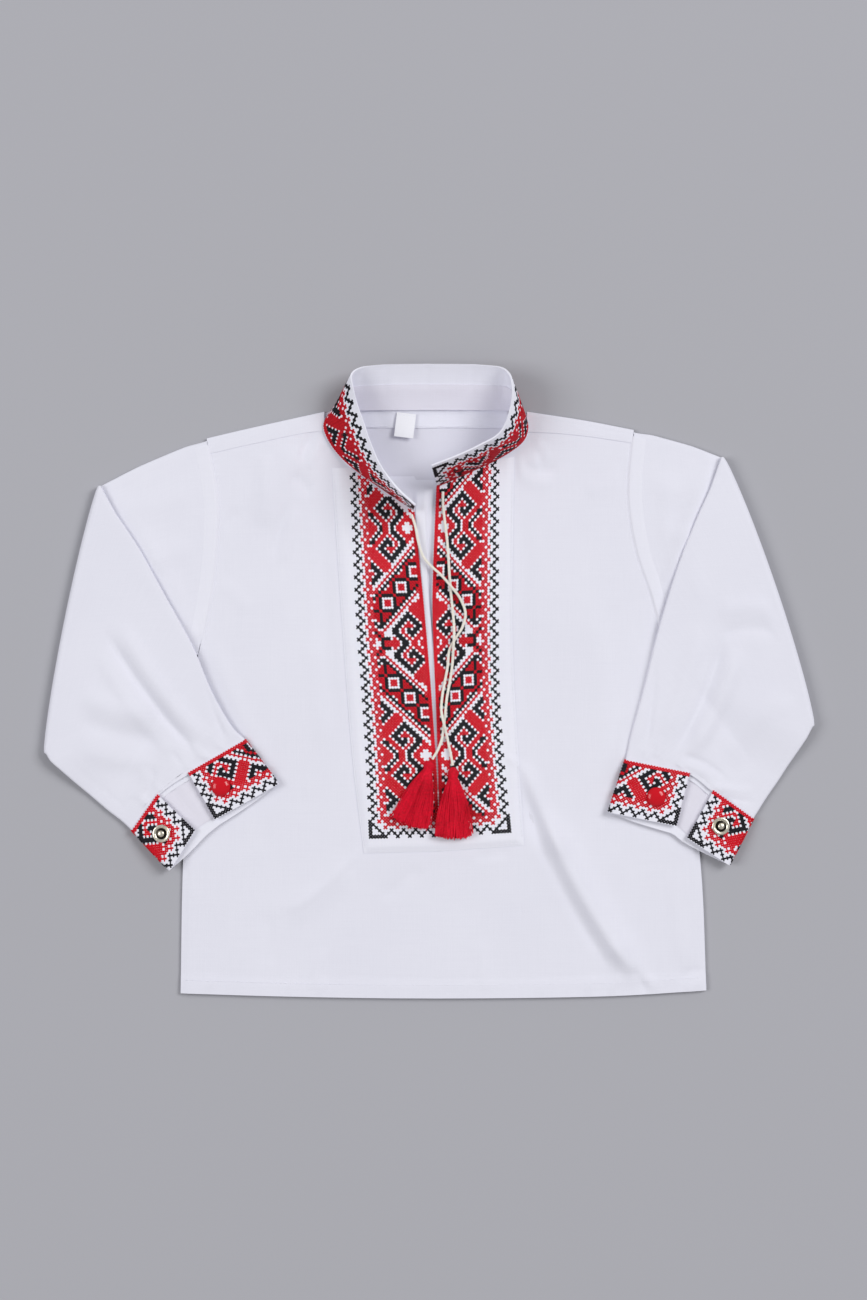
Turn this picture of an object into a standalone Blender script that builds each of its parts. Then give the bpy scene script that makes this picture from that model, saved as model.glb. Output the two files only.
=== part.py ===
# A toddler's embroidered folk shirt, laid flat on its back with both sleeves folded over its front.
# Sizes are in millimetres and become metres where a mesh is made. +Z is up, +Y is towards the collar,
# and the origin is under the middle of the shirt, on the surface that it lies on.

import math

import bmesh
import bpy
from mathutils import Matrix, Vector

MM = 0.001

# Walls and gaps
CLOTH = 1.0
SEAM_GAP = 0.3
ARMHOLE_GAP = 0.7
COLLAR_WALL = 1.5
CUFF_WALL = 1.2

# How far a flat sleeve's two layers lie above and below its middle, and its fold over itself
SLEEVE_LAYER = 0.9
SLEEVE_HALF = SLEEVE_LAYER + CLOTH / 2 + 0.05
FOLD_RADIUS = SLEEVE_HALF + 0.2
CUFF_LAYER = 1.2
CUFF_HALF = CUFF_LAYER + CUFF_WALL / 2

# Heights of the stacked layers' middles above the surface
BACK_MIDDLE = CLOTH / 2
FRONT_MIDDLE = BACK_MIDDLE + CLOTH + SEAM_GAP
PLASTRON_RISE = CLOTH + SEAM_GAP + 0.1
FOREARM_REST = 2 * FOLD_RADIUS
DROOP_REACH = 30.0

COLLAR_HEIGHT = 26.0
COLLAR_BOW = 0.9

CORD_DIAMETER = 1.6
CORD_STEP = 4.2
CORD_HUMP = 2.1
CORD_HUMP_REACH = 11.0

CAP_SEGMENTS = 20


# The shirt's outlines. Each row is share (0 to 1 along that edge), x, y. A repeated share is a corner.

SIDE_LEFT = [
    (0.00, -136.7, -171.3),
    (0.22, -135.6, -106.0),
    (0.44, -132.6, -42.0),
    (0.62, -127.0, 14.6),
    (0.62, -127.0, 14.6),
    (0.73, -120.2, 47.6),
    (0.83, -117.3, 75.0),
    (0.91, -117.0, 100.4),
    (1.00, -121.0, 126.0),
]
SIDE_RIGHT = [
    (0.00, 152.1, -169.7),
    (0.22, 149.4, -106.0),
    (0.44, 142.0, -42.0),
    (0.62, 129.5, 20.1),
    (0.62, 129.5, 20.1),
    (0.71, 122.2, 47.6),
    (0.80, 114.1, 72.3),
    (0.90, 109.7, 103.0),
    (1.00, 111.4, 132.0),
]
HEM = [
    (0.00, -136.7, -171.3),
    (0.25, -71.2, -173.2),
    (0.50, 4.6, -174.1),
    (0.75, 93.8, -173.0),
    (1.00, 152.1, -169.7),
]
SLIT_LEFT = [
    (0.000, 4.1, -174.1),
    (0.430, 4.1, -59.1),
    (0.430, 4.1, -59.1),
    (0.600, 1.4, -15.0),
    (0.800, -3.2, 40.0),
    (0.920, -5.0, 76.0),
    (1.000, -7.2, 95.2),
]
SLIT_RIGHT = [
    (0.000, 5.2, -174.1),
    (0.430, 5.2, -59.1),
    (0.430, 5.2, -59.1),
    (0.600, 3.6, -12.0),
    (0.800, 1.5, 45.0),
    (0.920, 1.8, 84.0),
    (1.000, 3.0, 108.4),
]
NECK_AND_SHOULDER_LEFT = [
    (0.00, -121.0, 126.0),
    (0.25, -90.0, 133.0),
    (0.50, -56.8, 138.6),
    (0.50, -56.8, 138.6),
    (0.62, -51.5, 127.6),
    (0.75, -38.0, 115.4),
    (1.00, -7.2, 95.2),
]
NECK_AND_SHOULDER_RIGHT = [
    (0.00, 3.0, 108.4),
    (0.20, 21.5, 116.6),
    (0.38, 38.0, 124.4),
    (0.50, 52.2, 138.0),
    (0.50, 52.2, 138.0),
    (0.75, 80.0, 136.2),
    (1.00, 111.4, 132.0),
]
BACK_TOP = [
    (0.0000, -122.3, 132.8),
    (0.1400, -94.0, 139.4),
    (0.2727, -57.8, 147.4),
    (0.2727, -57.8, 147.4),
    (0.3182, -48.0, 150.0),
    (0.4773, 0.0, 150.4),
    (0.6364, 44.5, 150.0),
    (0.6818, 53.6, 147.4),
    (0.6818, 53.6, 147.4),
    (0.8300, 84.0, 142.8),
    (1.0000, 112.2, 137.4),
]
BACK_NECK_COLUMNS = (6, 15)
# Shares of the grid rows of the body panels: the slit ends at one and the underarm is at another.
SLIT_END, UNDERARM = 0.43, 0.62
BACK_ROWS = [UNDERARM * k / 6 for k in range(7)] + [UNDERARM + (1 - UNDERARM) * k / 8 for k in range(1, 9)]
FRONT_ROWS = (
    [SLIT_END * k / 12 for k in range(12)]
    + [SLIT_END + (UNDERARM - SLIT_END) * k / 3 for k in range(4)]
    + [UNDERARM + (1 - UNDERARM) * k / 8 for k in range(1, 9)]
)
SHOULDER_SEAM = [
    (0.0000, -121.2, 126.4),
    (0.1400, -92.0, 133.0),
    (0.2727, -57.6, 139.0),
    (0.6818, 53.0, 138.4),
    (0.8300, 82.0, 136.6),
    (1.0000, 111.5, 132.4),
]
PLASTRON_LEFT = [
    (0.00, -36.0, -94.3),
    (0.27, -42.0, -45.0),
    (0.60, -47.4, 24.0),
    (1.00, -53.6, 115.6),
]
PLASTRON_RIGHT = [
    (0.00, 52.0, -89.9),
    (0.25, 49.0, -42.0),
    (0.55, 45.6, 24.0),
    (1.00, 46.5, 122.2),
]
PLASTRON_TOP_LEFT = [
    (0.00, -53.6, 115.6),
    (0.20, -44.4, 115.2),
    (0.20, -44.4, 115.2),
    (0.60, -26.4, 103.0),
    (1.00, -8.4, 91.8),
]
PLASTRON_TOP_RIGHT = [
    (0.00, 4.0, 105.2),
    (0.45, 22.3, 112.8),
    (0.82, 39.3, 120.2),
    (0.82, 39.3, 120.2),
    (1.00, 46.5, 122.2),
]
PLASTRON_SLIT_LEFT = [
    (0.00, 4.0, -93.2),
    (0.18, 4.0, -59.7),
    (0.18, 4.0, -59.7),
    (0.45, 1.0, -12.0),
    (0.75, -3.6, 43.0),
    (1.00, -8.4, 91.8),
]
PLASTRON_SLIT_RIGHT = [
    (0.00, 5.3, -93.2),
    (0.18, 5.3, -59.7),
    (0.18, 5.3, -59.7),
    (0.45, 3.8, -12.0),
    (0.75, 2.0, 43.0),
    (1.00, 4.0, 105.2),
]
PLASTRON_HEM_LEFT = [(0.0, -36.0, -94.3), (1.0, 4.0, -93.2)]
PLASTRON_HEM_RIGHT = [(0.0, 5.3, -93.2), (1.0, 52.0, -89.9)]

# Shares of the front's columns, closer where its largest fold runs. The join below the slit is one column.
FRONT_COLUMNS_LEFT = [0.0, 0.14, 0.29, 0.43, 0.56, 0.68, 0.78, 0.89, 1.0]
FRONT_COLUMNS_RIGHT = [0.0, 0.1, 0.2, 0.27, 0.33, 0.39, 0.45, 0.51, 0.57, 0.63, 0.69, 0.76, 0.84, 0.92, 1.0]

# Soft folds of the front. Columns: start x, start y, end x, end y, sideways bow, height, half width.
FRONT_FOLDS = [
    (59.0, -68.0, 118.0, -168.0, -4.0, 4.2, 8.0),
    (-42.0, -98.0, -82.0, -131.0, 2.0, 1.2, 6.0),
    (-68.0, 132.0, -92.0, 82.0, -4.0, 1.6, 9.0),
    (47.0, 116.0, 62.0, 119.0, 2.0, 1.1, 5.0),
]
# Broad swells of the front. Columns: middle x, middle y, half width, half length, height.
FRONT_SWELLS = [
    (-85.0, 10.0, 26.0, 70.0, 1.3),
    (85.0, 20.0, 22.0, 60.0, 1.3),
    (0.0, -20.0, 38.0, 70.0, 0.8),
]

# Sleeve sections, from the armhole round the fold to the cuff. Columns: top edge x, y, underarm edge x, y,
# sideways bow of the section, turn of the fold in degrees. The edges are the silhouette's.
LEFT_SLEEVE = [
    (-121.6, 134.0, -127.4, 14.0, -9.5, 0),
    (-139.0, 127.2, -148.0, -0.5, -6.0, 0),
    (-160.0, 118.2, -177.0, -18.0, -1.0, 0),
    (-182.3, 108.1, -212.2, -39.6, 3.4, 0),
    (-182.3, 108.1, -212.2, -39.6, 3.4, 45),
    (-182.3, 108.1, -212.2, -39.6, 3.4, 90),
    (-182.3, 108.1, -212.2, -39.6, 3.4, 135),
    (-182.3, 108.1, -212.2, -39.6, 3.4, 180),
    (-172.0, 92.5, -207.6, -44.4, 2.0, 180),
    (-159.2, 73.4, -200.4, -50.8, 1.0, 180),
    (-145.5, 48.6, -191.5, -57.0, 0.5, 180),
    (-130.1, 20.6, -184.0, -64.0, 0.0, 180),
    (-119.4, -4.7, -176.0, -71.0, 0.0, 180),
    (-108.6, -23.6, -169.5, -76.8, 0.0, 180),
    (-101.5, -30.9, -164.7, -81.3, 0.0, 180),
]
RIGHT_SLEEVE = [
    (112.0, 138.6, 130.2, 19.6, -8.5, 0),
    (127.0, 134.4, 150.0, 7.0, -5.0, 0),
    (144.0, 129.6, 180.0, -7.5, -2.0, 0),
    (161.8, 124.0, 212.0, -24.6, 9.4, 0),
    (161.8, 124.0, 212.0, -24.6, 9.4, 45),
    (161.8, 124.0, 212.0, -24.6, 9.4, 90),
    (161.8, 124.0, 212.0, -24.6, 9.4, 135),
    (161.8, 124.0, 212.0, -24.6, 9.4, 180),
    (154.0, 106.5, 208.4, -32.4, 5.6, 180),
    (145.5, 87.7, 202.0, -39.0, 3.0, 180),
    (136.0, 63.5, 197.0, -46.5, 1.5, 180),
    (125.5, 29.4, 192.0, -54.5, 0.5, 180),
    (117.6, -2.0, 186.5, -62.5, 0.0, 180),
    (110.6, -27.0, 182.0, -69.5, 0.0, 180),
    (107.5, -39.6, 179.2, -74.8, 0.0, 180),
]
# Soft folds of the sleeves' upper layers. Columns as for FRONT_FOLDS.
SLEEVE_FOLDS = [
    (-174.0, 42.0, -120.0, -40.0, -7.0, 2.6, 8.0),
    (-152.0, 58.0, -112.0, -28.0, -5.0, 2.2, 6.0),
    (-192.0, -12.0, -150.0, -40.0, 6.0, 1.8, 9.0),
    (158.0, 24.0, 134.0, -30.0, 5.0, 2.6, 8.0),
    (131.0, 66.0, 122.0, -32.0, 4.0, 2.0, 6.0),
    (188.0, 2.0, 160.0, -46.0, -6.0, 1.8, 9.0),
]

# Cuffs, as bands from the free end with the cap, round the back, to the free end with the stud.
# Columns: x and y on the edge sewn to the sleeve, x and y on the free edge.
LEFT_CUFF = {
    "cap_end": (-132.3, -49.6, -117.2, -75.5),
    "near_fold": (-101.1, -31.3, -82.4, -55.8),
    "far_fold": (-164.2, -81.7, -143.1, -103.9),
    "stud_end": (-149.4, -61.6, -128.5, -81.8),
}
RIGHT_CUFF = {
    "cap_end": (142.6, -49.8, 135.0, -79.2),
    "near_fold": (107.2, -42.3, 97.7, -71.2),
    "far_fold": (178.5, -75.1, 165.0, -100.9),
    "stud_end": (155.8, -59.3, 141.3, -85.9),
}
SNAPS = {
    "snap_cap_left": (-114.3, -57.5),
    "snap_stud_left": (-146.9, -83.3),
    "snap_cap_right": (124.2, -63.1),
    "snap_stud_right": (159.6, -79.2),
}
# Turned profiles of the snaps. Columns: radius, height, from the top down the outside.
CAP_PROFILE = [(0.0, 2.3), (2.4, 2.1), (4.3, 1.4), (5.1, 0.7), (5.25, 0.3), (4.9, 0.0), (0.0, 0.0)]
STUD_PROFILE = [
    (0.0, 2.5),
    (1.2, 2.3),
    (1.7, 1.8),
    (1.4, 1.1),
    (2.3, 0.5),
    (3.2, 0.8),
    (4.1, 0.8),
    (4.5, 0.4),
    (4.3, 0.0),
    (0.0, 0.0),
]

# The stand collar, from its left front end round the neck to its right front end.
# Columns: share, seam x, y, free edge x, y, height of the seam's middle.
COLLAR_STATIONS = [
    (0.000, -8.6, 94.4, -7.6, 95.8, 4.5),
    (0.065, -25.8, 105.8, -17.8, 105.4, 4.5),
    (0.130, -42.4, 118.0, -27.0, 118.4, 4.4),
    (0.180, -51.0, 126.6, -32.4, 131.0, 3.6),
    (0.225, -56.2, 135.0, -36.6, 143.4, 3.4),
    (0.260, -57.6, 141.2, -39.4, 151.6, 3.4),
    (0.295, -54.8, 146.4, -41.6, 160.4, 3.2),
    (0.330, -49.0, 148.8, -42.2, 167.4, 2.5),
    (0.375, -39.0, 149.0, -34.6, 172.0, 2.1),
    (0.520, 0.3, 149.2, 0.3, 173.4, 2.1),
    (0.660, 38.0, 149.0, 36.4, 172.0, 2.1),
    (0.700, 46.6, 148.6, 43.4, 167.4, 2.6),
    (0.735, 52.2, 145.0, 45.2, 158.4, 3.4),
    (0.775, 53.6, 138.6, 43.6, 147.2, 3.6),
    (0.820, 50.2, 131.2, 38.4, 135.4, 3.8),
    (0.880, 38.4, 123.0, 27.0, 128.2, 4.5),
    (0.940, 22.0, 115.2, 14.6, 122.4, 4.5),
    (1.000, 4.4, 107.4, 1.2, 117.2, 4.5),
]
COLLAR_COLUMNS = 54
FACING_GAP = 0.45
COLLAR_ROWS = 4
FACING_SPAN = (0.05, 0.56)

TAPE = {"left": -45.0, "right": 43.0, "top": 147.7, "bottom": 139.4}
LABEL = {"middle": (-13.4, 140.7), "width": 10.6, "length": 13.4, "turn": -7.0}

# Routes of the two ties over the plastron, from the collar to the tassels. Columns: x, y.
LEFT_TIE = [
    (-9.9, 91.6),
    (-7.7, 85.0),
    (-6.2, 77.0),
    (-3.6, 69.0),
    (0.4, 63.8),
    (6.2, 58.6),
    (11.6, 52.4),
    (16.8, 45.6),
    (19.7, 37.6),
    (18.0, 29.8),
    (14.2, 23.6),
    (10.9, 17.0),
    (9.9, 8.0),
    (8.2, -1.0),
    (6.8, -9.6),
    (6.6, -16.8),
    (8.2, -24.0),
    (9.9, -31.6),
    (11.4, -38.8),
    (12.8, -46.0),
]
RIGHT_TIE = [
    (7.4, 104.2),
    (7.4, 97.0),
    (8.4, 88.0),
    (9.6, 78.0),
    (10.4, 68.0),
    (11.0, 58.0),
    (11.8, 48.0),
    (12.8, 38.0),
    (13.5, 28.4),
    (13.1, 19.0),
    (12.5, 9.0),
    (11.2, 0.0),
    (9.6, -8.6),
    (8.7, -16.6),
    (7.9, -23.6),
    (7.0, -30.6),
    (4.8, -37.0),
    (1.6, -42.6),
]
# Where one tie passes over the other. Columns: x, y.
LEFT_TIE_OVER = [(11.4, 52.8), (7.9, -22.8)]
RIGHT_TIE_OVER = [(13.2, 21.6)]

# Tassels. Columns: top x, top y, direction of hang in degrees from -Y towards +X, length.
TASSELS = {"tassel_left": (0.7, -43.6, -18.0, 37.6), "tassel_right": (12.9, -47.0, 0.5, 39.4)}
# A tassel's solid head and upper skirt. Columns: distance from the top, half width, half thickness.
TASSEL_BODY = [
    (0.0, 0.9, 0.9),
    (1.4, 2.2, 1.9),
    (3.8, 2.8, 2.2),
    (5.8, 2.1, 1.8),
    (8.0, 3.0, 2.2),
    (12.0, 5.0, 2.4),
    (16.0, 6.5, 2.3),
]
TASSEL_HALF_SPREAD = 10.4
LOCKS_PER_LAYER = 11
LOCK_LAYERS = (0.9, -0.9)
LOCK_ROOT = 13.5
LOCK_HALF_WIDTH = (0.38, 0.66)


# Curves, patches and heights


def edge(rows):
    """Gives the place at a share along an edge: smooth through its rows, with a corner at a repeated share."""
    runs = [[rows[0]]]
    for previous, row in zip(rows, rows[1:]):
        if row[0] == previous[0]:
            runs.append([row])
        else:
            runs[-1].append(row)

    def slope(run, k, axis):
        low, high = max(k - 1, 0), min(k + 1, len(run) - 1)
        return (run[high][axis] - run[low][axis]) / (run[high][0] - run[low][0])

    def place(share):
        run = next((r for r in runs if share <= r[-1][0]), runs[-1])
        k = max(i for i in range(len(run) - 1) if run[i][0] <= share or i == 0)
        a, b = run[k], run[k + 1]
        span = b[0] - a[0]
        t = (share - a[0]) / span
        weights = (2 * t**3 - 3 * t**2 + 1, t**3 - 2 * t**2 + t, 3 * t**2 - 2 * t**3, t**3 - t**2)
        return [
            weights[0] * a[axis]
            + weights[1] * span * slope(run, k, axis)
            + weights[2] * b[axis]
            + weights[3] * span * slope(run, k + 1, axis)
            for axis in range(1, len(a))
        ]

    return place


def patch(bottom, top, left, right):
    """Fills four edges that meet at their ends, as a function of the shares across and up."""
    bottom, top, left, right = edge(bottom), edge(top), edge(left), edge(right)

    def place(across, up):
        b, t, l, r = bottom(across), top(across), left(up), right(up)
        corners = [
            (1 - across) * (1 - up) * p + across * (1 - up) * q + (1 - across) * up * s + across * up * w
            for p, q, s, w in zip(bottom(0.0), bottom(1.0), top(0.0), top(1.0))
        ]
        return [
            (1 - up) * b[k] + up * t[k] + (1 - across) * l[k] + across * r[k] - corners[k] for k in range(2)
        ]

    return place


def part_of(rows, low, high):
    """The stretch of an edge between two shares, as an edge of its own."""
    place = edge(rows)
    steps = 6
    return [(k / steps, *place(low + (high - low) * k / steps)) for k in range(steps + 1)]


def smooth_step(t):
    t = min(max(t, 0.0), 1.0)
    return t * t * (3 - 2 * t)


def fold_height(folds, x, y):
    """Height of the soft folds at a place: each is a ridge along a bowed line that fades at both ends."""
    total = 0.0
    for x0, y0, x1, y1, bow, height, half_width in folds:
        length = math.hypot(x1 - x0, y1 - y0)
        ux, uy = (x1 - x0) / length, (y1 - y0) / length
        along = ((x - x0) * ux + (y - y0) * uy) / length
        if -0.2 < along < 1.2:
            side = (x - x0) * -uy + (y - y0) * ux - bow * 4 * along * (1 - along)
            ends = smooth_step(along / 0.25) * smooth_step((1 - along) / 0.25)
            total += height * math.exp(-((side / half_width) ** 2)) * ends
    return total


def front_rise(x, y):
    """How far the front stands above its lowest height at a place."""
    swell = sum(
        height * math.exp(-(((x - mx) / half_w) ** 2) - ((y - my) / half_l) ** 2)
        for mx, my, half_w, half_l, height in FRONT_SWELLS
    )
    return swell + fold_height(FRONT_FOLDS, x, y)


def forearm_support(x, y):
    """Height of the surface that a folded-over sleeve lies on: the body and the upper arm, and the floor past them."""
    side = LEFT_SLEEVE if x < 0 else RIGHT_SLEEVE
    sign = -1 if x < 0 else 1
    body_edge = edge(SIDE_LEFT if x < 0 else SIDE_RIGHT)(min(max((y + 171.0) / 300.0, 0.0), 0.62))[0]
    past_body = sign * (x - body_edge)
    under_x, under_y = side[0][2], side[0][3]
    fold_x, fold_y = side[3][2], side[3][3]
    length = math.hypot(fold_x - under_x, fold_y - under_y)
    below_arm = sign * ((x - under_x) * (fold_y - under_y) - (y - under_y) * (fold_x - under_x)) / length
    past = min(past_body, below_arm) - 6.0
    return FOREARM_REST * (1 - smooth_step(past / DROOP_REACH))


# Mesh making


def material(name, colour, roughness, metallic=0.0):
    made = bpy.data.materials.new(name)
    made.use_nodes = True
    shader = made.node_tree.nodes["Principled BSDF"]
    shader.inputs["Base Color"].default_value = (*colour, 1.0)
    shader.inputs["Roughness"].default_value = roughness
    shader.inputs["Metallic"].default_value = metallic
    return made


def add_object(name, mesh, shirt, finish):
    mesh.materials.append(finish)
    made = bpy.data.objects.new(name, mesh)
    shirt.objects.link(made)
    return made


def cloth(name, columns, rows, place, wall, shirt, finish, keep=None, close_round=False):
    """A wall of cloth: a grid whose points are placed one by one, in millimetres, and thickened both ways."""
    grid = bmesh.new()
    bmesh.ops.create_grid(grid, x_segments=columns, y_segments=rows, size=0.5)
    if keep:
        unwanted = []
        for face in grid.faces:
            middle = face.calc_center_median()
            cell = (int((middle.x + 0.5) * columns), int((middle.y + 0.5) * rows))
            if not keep(*cell):
                unwanted.append(face)
        bmesh.ops.delete(grid, geom=unwanted, context="FACES")
    for point in grid.verts:
        column, row = round((point.co.x + 0.5) * columns), round((point.co.y + 0.5) * rows)
        point.co = Vector(place(column, row)) * MM
    if close_round:
        bmesh.ops.remove_doubles(grid, verts=grid.verts, dist=0.01 * MM)
    bmesh.ops.recalc_face_normals(grid, faces=grid.faces)
    mesh = bpy.data.meshes.new(name)
    grid.to_mesh(mesh)
    grid.free()
    made = add_object(name, mesh, shirt, finish)
    thicken = made.modifiers.new("wall", "SOLIDIFY")
    thicken.thickness = wall * MM
    thicken.offset = 0.0
    thicken.use_even_offset = True
    return made


# Body panels


def back_panel(shirt, finish):
    """The back: flat on the surface, with a strip at each shoulder that turns over to the front."""
    columns, rows, turn_rows, strip_rows = 22, len(BACK_ROWS) - 1, 4, 1
    body = patch(HEM, BACK_TOP, extended(SIDE_LEFT, BACK_TOP[0]), extended(SIDE_RIGHT, BACK_TOP[-1]))
    fold, seam = edge(BACK_TOP), edge(SHOULDER_SEAM)
    radius = (FRONT_MIDDLE - BACK_MIDDLE) / 2
    centre = (FRONT_MIDDLE + BACK_MIDDLE) / 2

    def place(column, row):
        across = column / columns
        if row <= rows:
            return [*body(across, BACK_ROWS[row]), BACK_MIDDLE]
        x, y = fold(across)
        if row <= rows + turn_rows:
            angle = math.pi * (row - rows) / turn_rows
            return [x, y + radius * math.sin(angle), centre - radius * math.cos(angle)]
        over = (row - rows - turn_rows) / strip_rows
        seam_x, seam_y = seam(across)
        return [x + (seam_x - x) * over, y + (seam_y - y) * over, FRONT_MIDDLE]

    def keep(column, row):
        return row < rows or not BACK_NECK_COLUMNS[0] <= column < BACK_NECK_COLUMNS[1]

    return cloth("back", columns, rows + turn_rows + strip_rows, place, CLOTH, shirt, finish, keep)


def extended(rows, last):
    """A side edge that ends at another point than its own."""
    return [*rows[:-1], (1.0, last[1], last[2])]


def front_panel(shirt, finish):
    """The front: two halves in one piece, joined below the end of the neck slit."""
    half, rows = len(FRONT_COLUMNS_LEFT) - 1, len(FRONT_ROWS) - 1
    columns = half + len(FRONT_COLUMNS_RIGHT)
    slit_row = FRONT_ROWS.index(SLIT_END)
    left = patch(part_of(HEM, 0.0, 0.498), NECK_AND_SHOULDER_LEFT, SIDE_LEFT, SLIT_LEFT)
    right = patch(part_of(HEM, 0.502, 1.0), NECK_AND_SHOULDER_RIGHT, SLIT_RIGHT, SIDE_RIGHT)

    def place(column, row):
        up = FRONT_ROWS[row]
        if column <= half:
            x, y = left(FRONT_COLUMNS_LEFT[column], up)
        else:
            x, y = right(FRONT_COLUMNS_RIGHT[column - half - 1], up)
        return [x, y, FRONT_MIDDLE + front_rise(x, y)]

    def keep(column, row):
        return column != half or row < slit_row

    return cloth("front", columns, rows, place, CLOTH, shirt, finish, keep)


def plastron(shirt, finish):
    """The embroidered panel on the front, in one piece below the end of the neck slit."""
    half, rows = 6, 14
    slit_row = 3
    left = patch(PLASTRON_HEM_LEFT, PLASTRON_TOP_LEFT, PLASTRON_LEFT, PLASTRON_SLIT_LEFT)
    right = patch(PLASTRON_HEM_RIGHT, PLASTRON_TOP_RIGHT, PLASTRON_SLIT_RIGHT, PLASTRON_RIGHT)
    slit_share = PLASTRON_SLIT_LEFT[1][0]

    def place(column, row):
        up = row / slit_row * slit_share
        if row > slit_row:
            up = slit_share + (row - slit_row) / (rows - slit_row) * (1 - slit_share)
        x, y = left(column / half, up) if column <= half else right((column - half - 1) / half, up)
        return [x, y, FRONT_MIDDLE + PLASTRON_RISE + front_rise(x, y)]

    def keep(column, row):
        return column != half or row < slit_row

    return cloth("plastron", 2 * half + 1, rows, place, CLOTH, shirt, finish, keep)


# Sleeves and cuffs


def cuff_line(lines, end):
    """The edge of a cuff from its near fold to its far one, through its two free ends, at its seam or its hem."""
    keys = ("near_fold", "cap_end", "stud_end", "far_fold")
    points = [Vector(lines[key][:2] if end == "seam" else lines[key][2:]) for key in keys]
    far = [0.0]
    for a, b in zip(points, points[1:]):
        far.append(far[-1] + (b - a).length)
    return edge([(d / far[-1], p.x, p.y) for d, p in zip(far, points)])


def sleeve(name, sections, lines, sign, shirt, finish):
    """A flat tube that leaves the armhole, folds over itself and comes back over the front to the cuff."""
    cuff_seam = cuff_line(lines, "seam")
    flat, turn = 10, 3
    around = 2 * (flat + turn + 1)
    body_edge = SIDE_LEFT if sign < 0 else SIDE_RIGHT
    armhole = edge(extended(body_edge, BACK_TOP[0] if sign < 0 else BACK_TOP[-1]))

    def section_frame(row):
        top_x, top_y, under_x, under_y, bow, fold = sections[row]
        length = math.hypot(under_x - top_x, under_y - top_y)
        across = Vector(((under_x - top_x) / length, (under_y - top_y) / length, 0.0))
        inward = Vector((-across.y, across.x, 0.0))
        if inward.x * sign > 0:
            inward = -inward
        return Vector((top_x, top_y, 0.0)), across, inward, length, bow, math.radians(fold)

    def place(column, row):
        start, across, inward, length, bow, fold = section_frame(row)
        at_fold = 0 < row and sections[row][:2] == sections[3][:2]
        up = Vector((0.0, 0.0, 1.0)) * math.cos(fold) + inward * math.sin(fold)
        step = column % around
        quarter = flat + 1 + turn
        layer = 1 if step < quarter else -1
        k = step if step < quarter else step - quarter
        ring = Vector((0.0, 0.0, 0.0))
        if k <= flat:
            share = k / flat if layer > 0 else 1 - k / flat
            ring += up * SLEEVE_LAYER * layer
        else:
            share = 1.0 if layer > 0 else 0.0
            angle = math.pi * (k - flat) / (turn + 1)
            ring += (up * math.cos(angle) + across * math.sin(angle)) * SLEEVE_LAYER * layer
        middle = start + across * (SLEEVE_HALF + (length - 2 * SLEEVE_HALF) * share)
        middle -= inward * bow * 4 * share * (1 - share)
        if row == 0:
            reach = (SLEEVE_HALF + (length - 2 * SLEEVE_HALF) * share) / length
            x, y = armhole(1 - (1 - UNDERARM) * reach)
            middle = Vector((x + sign * ARMHOLE_GAP, y, 0.0))
        if row == len(sections) - 1:
            reach = (SLEEVE_HALF + (length - 2 * SLEEVE_HALF) * share) / length
            middle = Vector((*cuff_seam(reach), 0.0)) - inward * SEAM_GAP
        if at_fold:
            middle += inward * (FOLD_RADIUS * (1 - math.sin(fold)) + SLEEVE_HALF)
        if fold > math.pi / 2 + 0.01:
            level = max(forearm_support(middle.x, middle.y), 0.0)
            turned = FOLD_RADIUS * (1 - math.cos(fold))
            height = SLEEVE_HALF + turned - (FOREARM_REST - level)
        else:
            height = SLEEVE_HALF + FOLD_RADIUS * (1 - math.cos(fold))
        middle.z = height
        point = middle + ring
        if fold > 3.0 and layer < 0 and 0 < k <= flat:
            point.z += fold_height(SLEEVE_FOLDS, point.x, point.y) * math.sin(math.pi * share) ** 0.5
        return point

    return cloth(name, around, len(sections) - 1, place, CLOTH, shirt, finish, close_round=True)


def cuff_height(x, y):
    """Height of the middle of a cuff's two layers."""
    return forearm_support(x, y) + CUFF_HALF


def cuff(name, lines, shirt, finish):
    """An open band, turned under at both sides, with its free ends apart on top."""
    short, turn, long, rows = 4, 3, 9, 3
    seam, hem = cuff_line(lines, "seam"), cuff_line(lines, "hem")
    ends = [Vector(lines[key][:2]) for key in ("cap_end", "near_fold", "far_fold", "stud_end")]
    tips = [Vector(lines[key][2:]) for key in ("cap_end", "near_fold", "far_fold", "stud_end")]
    path = [("cap", k / short, 1.0) for k in range(short + 1)]
    path += [("near", 0.0, math.cos(math.pi * k / (turn + 1))) for k in range(1, turn + 1)]
    path += [("under", k / long, -1.0) for k in range(long + 1)]
    path += [("far", 0.0, -math.cos(math.pi * k / (turn + 1))) for k in range(1, turn + 1)]
    path += [("stud", k / short, 1.0) for k in range(short + 1)]

    def place(column, row):
        down = row / rows
        cap, near, far, stud = [a.lerp(b, down) for a, b in zip(ends, tips)]
        gap = (tips[0] - ends[0]).normalized() * SEAM_GAP * (1 - down)
        outward = (near - far).normalized()
        near, far = near - outward * CUFF_HALF, far + outward * CUFF_HALF
        stretch, share, level = path[column]
        swing = math.sqrt(max(1 - level * level, 0.0)) * CUFF_LAYER
        if stretch == "cap":
            flat = cap.lerp(near, share)
        elif stretch == "near":
            flat = near + outward * swing
        elif stretch == "under":
            bowed = Vector(seam(share)).lerp(Vector(hem(share)), down)
            straight = near.lerp(far, share)
            flat = bowed.lerp(straight, 0.6 * down + 2 * abs(share - 0.5) * (1 - 0.6 * down))
        elif stretch == "far":
            flat = far - outward * swing
        else:
            flat = far.lerp(stud, share)
        flat = flat + gap
        return [flat.x, flat.y, cuff_height(flat.x, flat.y) + level * CUFF_LAYER]

    return cloth(name, len(path) - 1, rows, place, CUFF_WALL, shirt, finish)


# Collar, neck tape and label


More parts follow.
